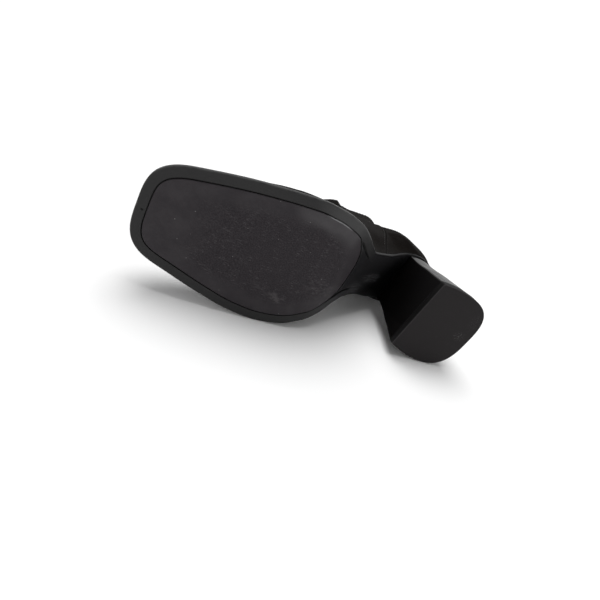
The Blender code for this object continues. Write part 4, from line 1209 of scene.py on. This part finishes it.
lift_rubber.feed(
    Base_Color=lift_tone,
    Roughness=0.58 + 0.18 * lift_cloud,
    Normal=lift_rubber.bump(lift_grain, 0.00018, 0.3, lift_rubber.bump(lift_cloud, 0.0006, 0.2)))
top_piece = piece_of("heel_top_piece_rubber", [top_caps[0], top_rings, top_caps[1]], [lift_rubber.material], {
    "edge_mm": top_marks, "wall": top_walls}, sharp=50.0)
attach(top_piece, "root")
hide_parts("heel_top_piece")

# The set: a plain white floor, a sky that is white round the horizon and dim above, one wide soft lamp from
# overhead and a little behind, and the camera at the photograph's angle to the boot.

FLOOR_HALF = 30.0
FLOOR_DROP = 0.0002
SKY_BAND = {"From Min": 0.36, "From Max": 0.52, "To Min": 1.08, "To Max": 0.25}
LAMP_POWER = 2.5
LAMP_WIDE = math.radians(50.0)
LAMP_LEAN = math.radians(-16.0)
PHOTO_SIDE = 600
FOCAL_PIXELS = 405.62
SENSOR = 36.0
NEAREST = 0.01
EYE = np.array([233.7, 82.6, -229.2])
RIGHT = np.array([-0.86581, 0.47807, -0.14772])
DOWN = np.array([-0.35016, -0.78977, -0.50365])
FORWARD = np.array([-0.35744, -0.38434, 0.85119])

floor_mesh = bpy.data.meshes.new("floor")
floor_corners = FLOOR_HALF * np.array([(-1, -1), (1, -1), (1, 1), (-1, 1)], dtype=float)
floor_mesh.from_pydata(raised(floor_corners, -FLOOR_DROP).tolist(), [], [(0, 1, 2, 3)])
floor = bpy.data.objects.new("floor", floor_mesh)
bpy.context.scene.collection.objects.link(floor)
floor_paint = Finish("floor_paint", Base_Color=(0.95, 0.95, 0.95, 1.0), Roughness=0.9, Specular_IOR_Level=0.1)
floor_mesh.materials.append(floor_paint.material)

sky = bpy.data.worlds.new("studio")
sky.use_nodes = True
bpy.context.scene.world = sky
sky_nodes = sky.node_tree.nodes
sky_links = sky.node_tree.links
direction = sky_nodes.new("ShaderNodeTexCoord")
split = sky_nodes.new("ShaderNodeSeparateXYZ")
band = sky_nodes.new("ShaderNodeMapRange")
band.interpolation_type = "SMOOTHSTEP"
for key, value in SKY_BAND.items():
    band.inputs[key].default_value = value
sky_links.new(direction.outputs["Generated"], split.inputs[0])
sky_links.new(split.outputs["Z"], band.inputs["Value"])
sky_links.new(band.outputs[0], sky_nodes["Background"].inputs["Strength"])
sky_nodes["Background"].inputs["Color"].default_value = (1.0, 1.0, 1.0, 1.0)

lamp_data = bpy.data.lights.new("overhead", "SUN")
lamp_data.energy = LAMP_POWER
lamp_data.angle = LAMP_WIDE
lamp = bpy.data.objects.new("overhead", lamp_data)
lamp.rotation_euler = (LAMP_LEAN, 0.0, 0.0)
bpy.context.scene.collection.objects.link(lamp)

camera_data = bpy.data.cameras.new("camera")
camera_data.sensor_width = SENSOR
camera_data.lens = FOCAL_PIXELS / PHOTO_SIDE * SENSOR
camera_data.clip_start = NEAREST
camera = bpy.data.objects.new("camera", camera_data)
bpy.context.scene.collection.objects.link(camera)
view_axes = np.stack([RIGHT @ LAID, -DOWN @ LAID, -FORWARD @ LAID], axis=1)
camera_place = Matrix(view_axes.tolist()).to_4x4()
camera_place.translation = laid(EYE).tolist()
camera.matrix_world = camera_place
bpy.context.scene.camera = camera
bpy.context.scene.view_settings.view_transform = "Standard"
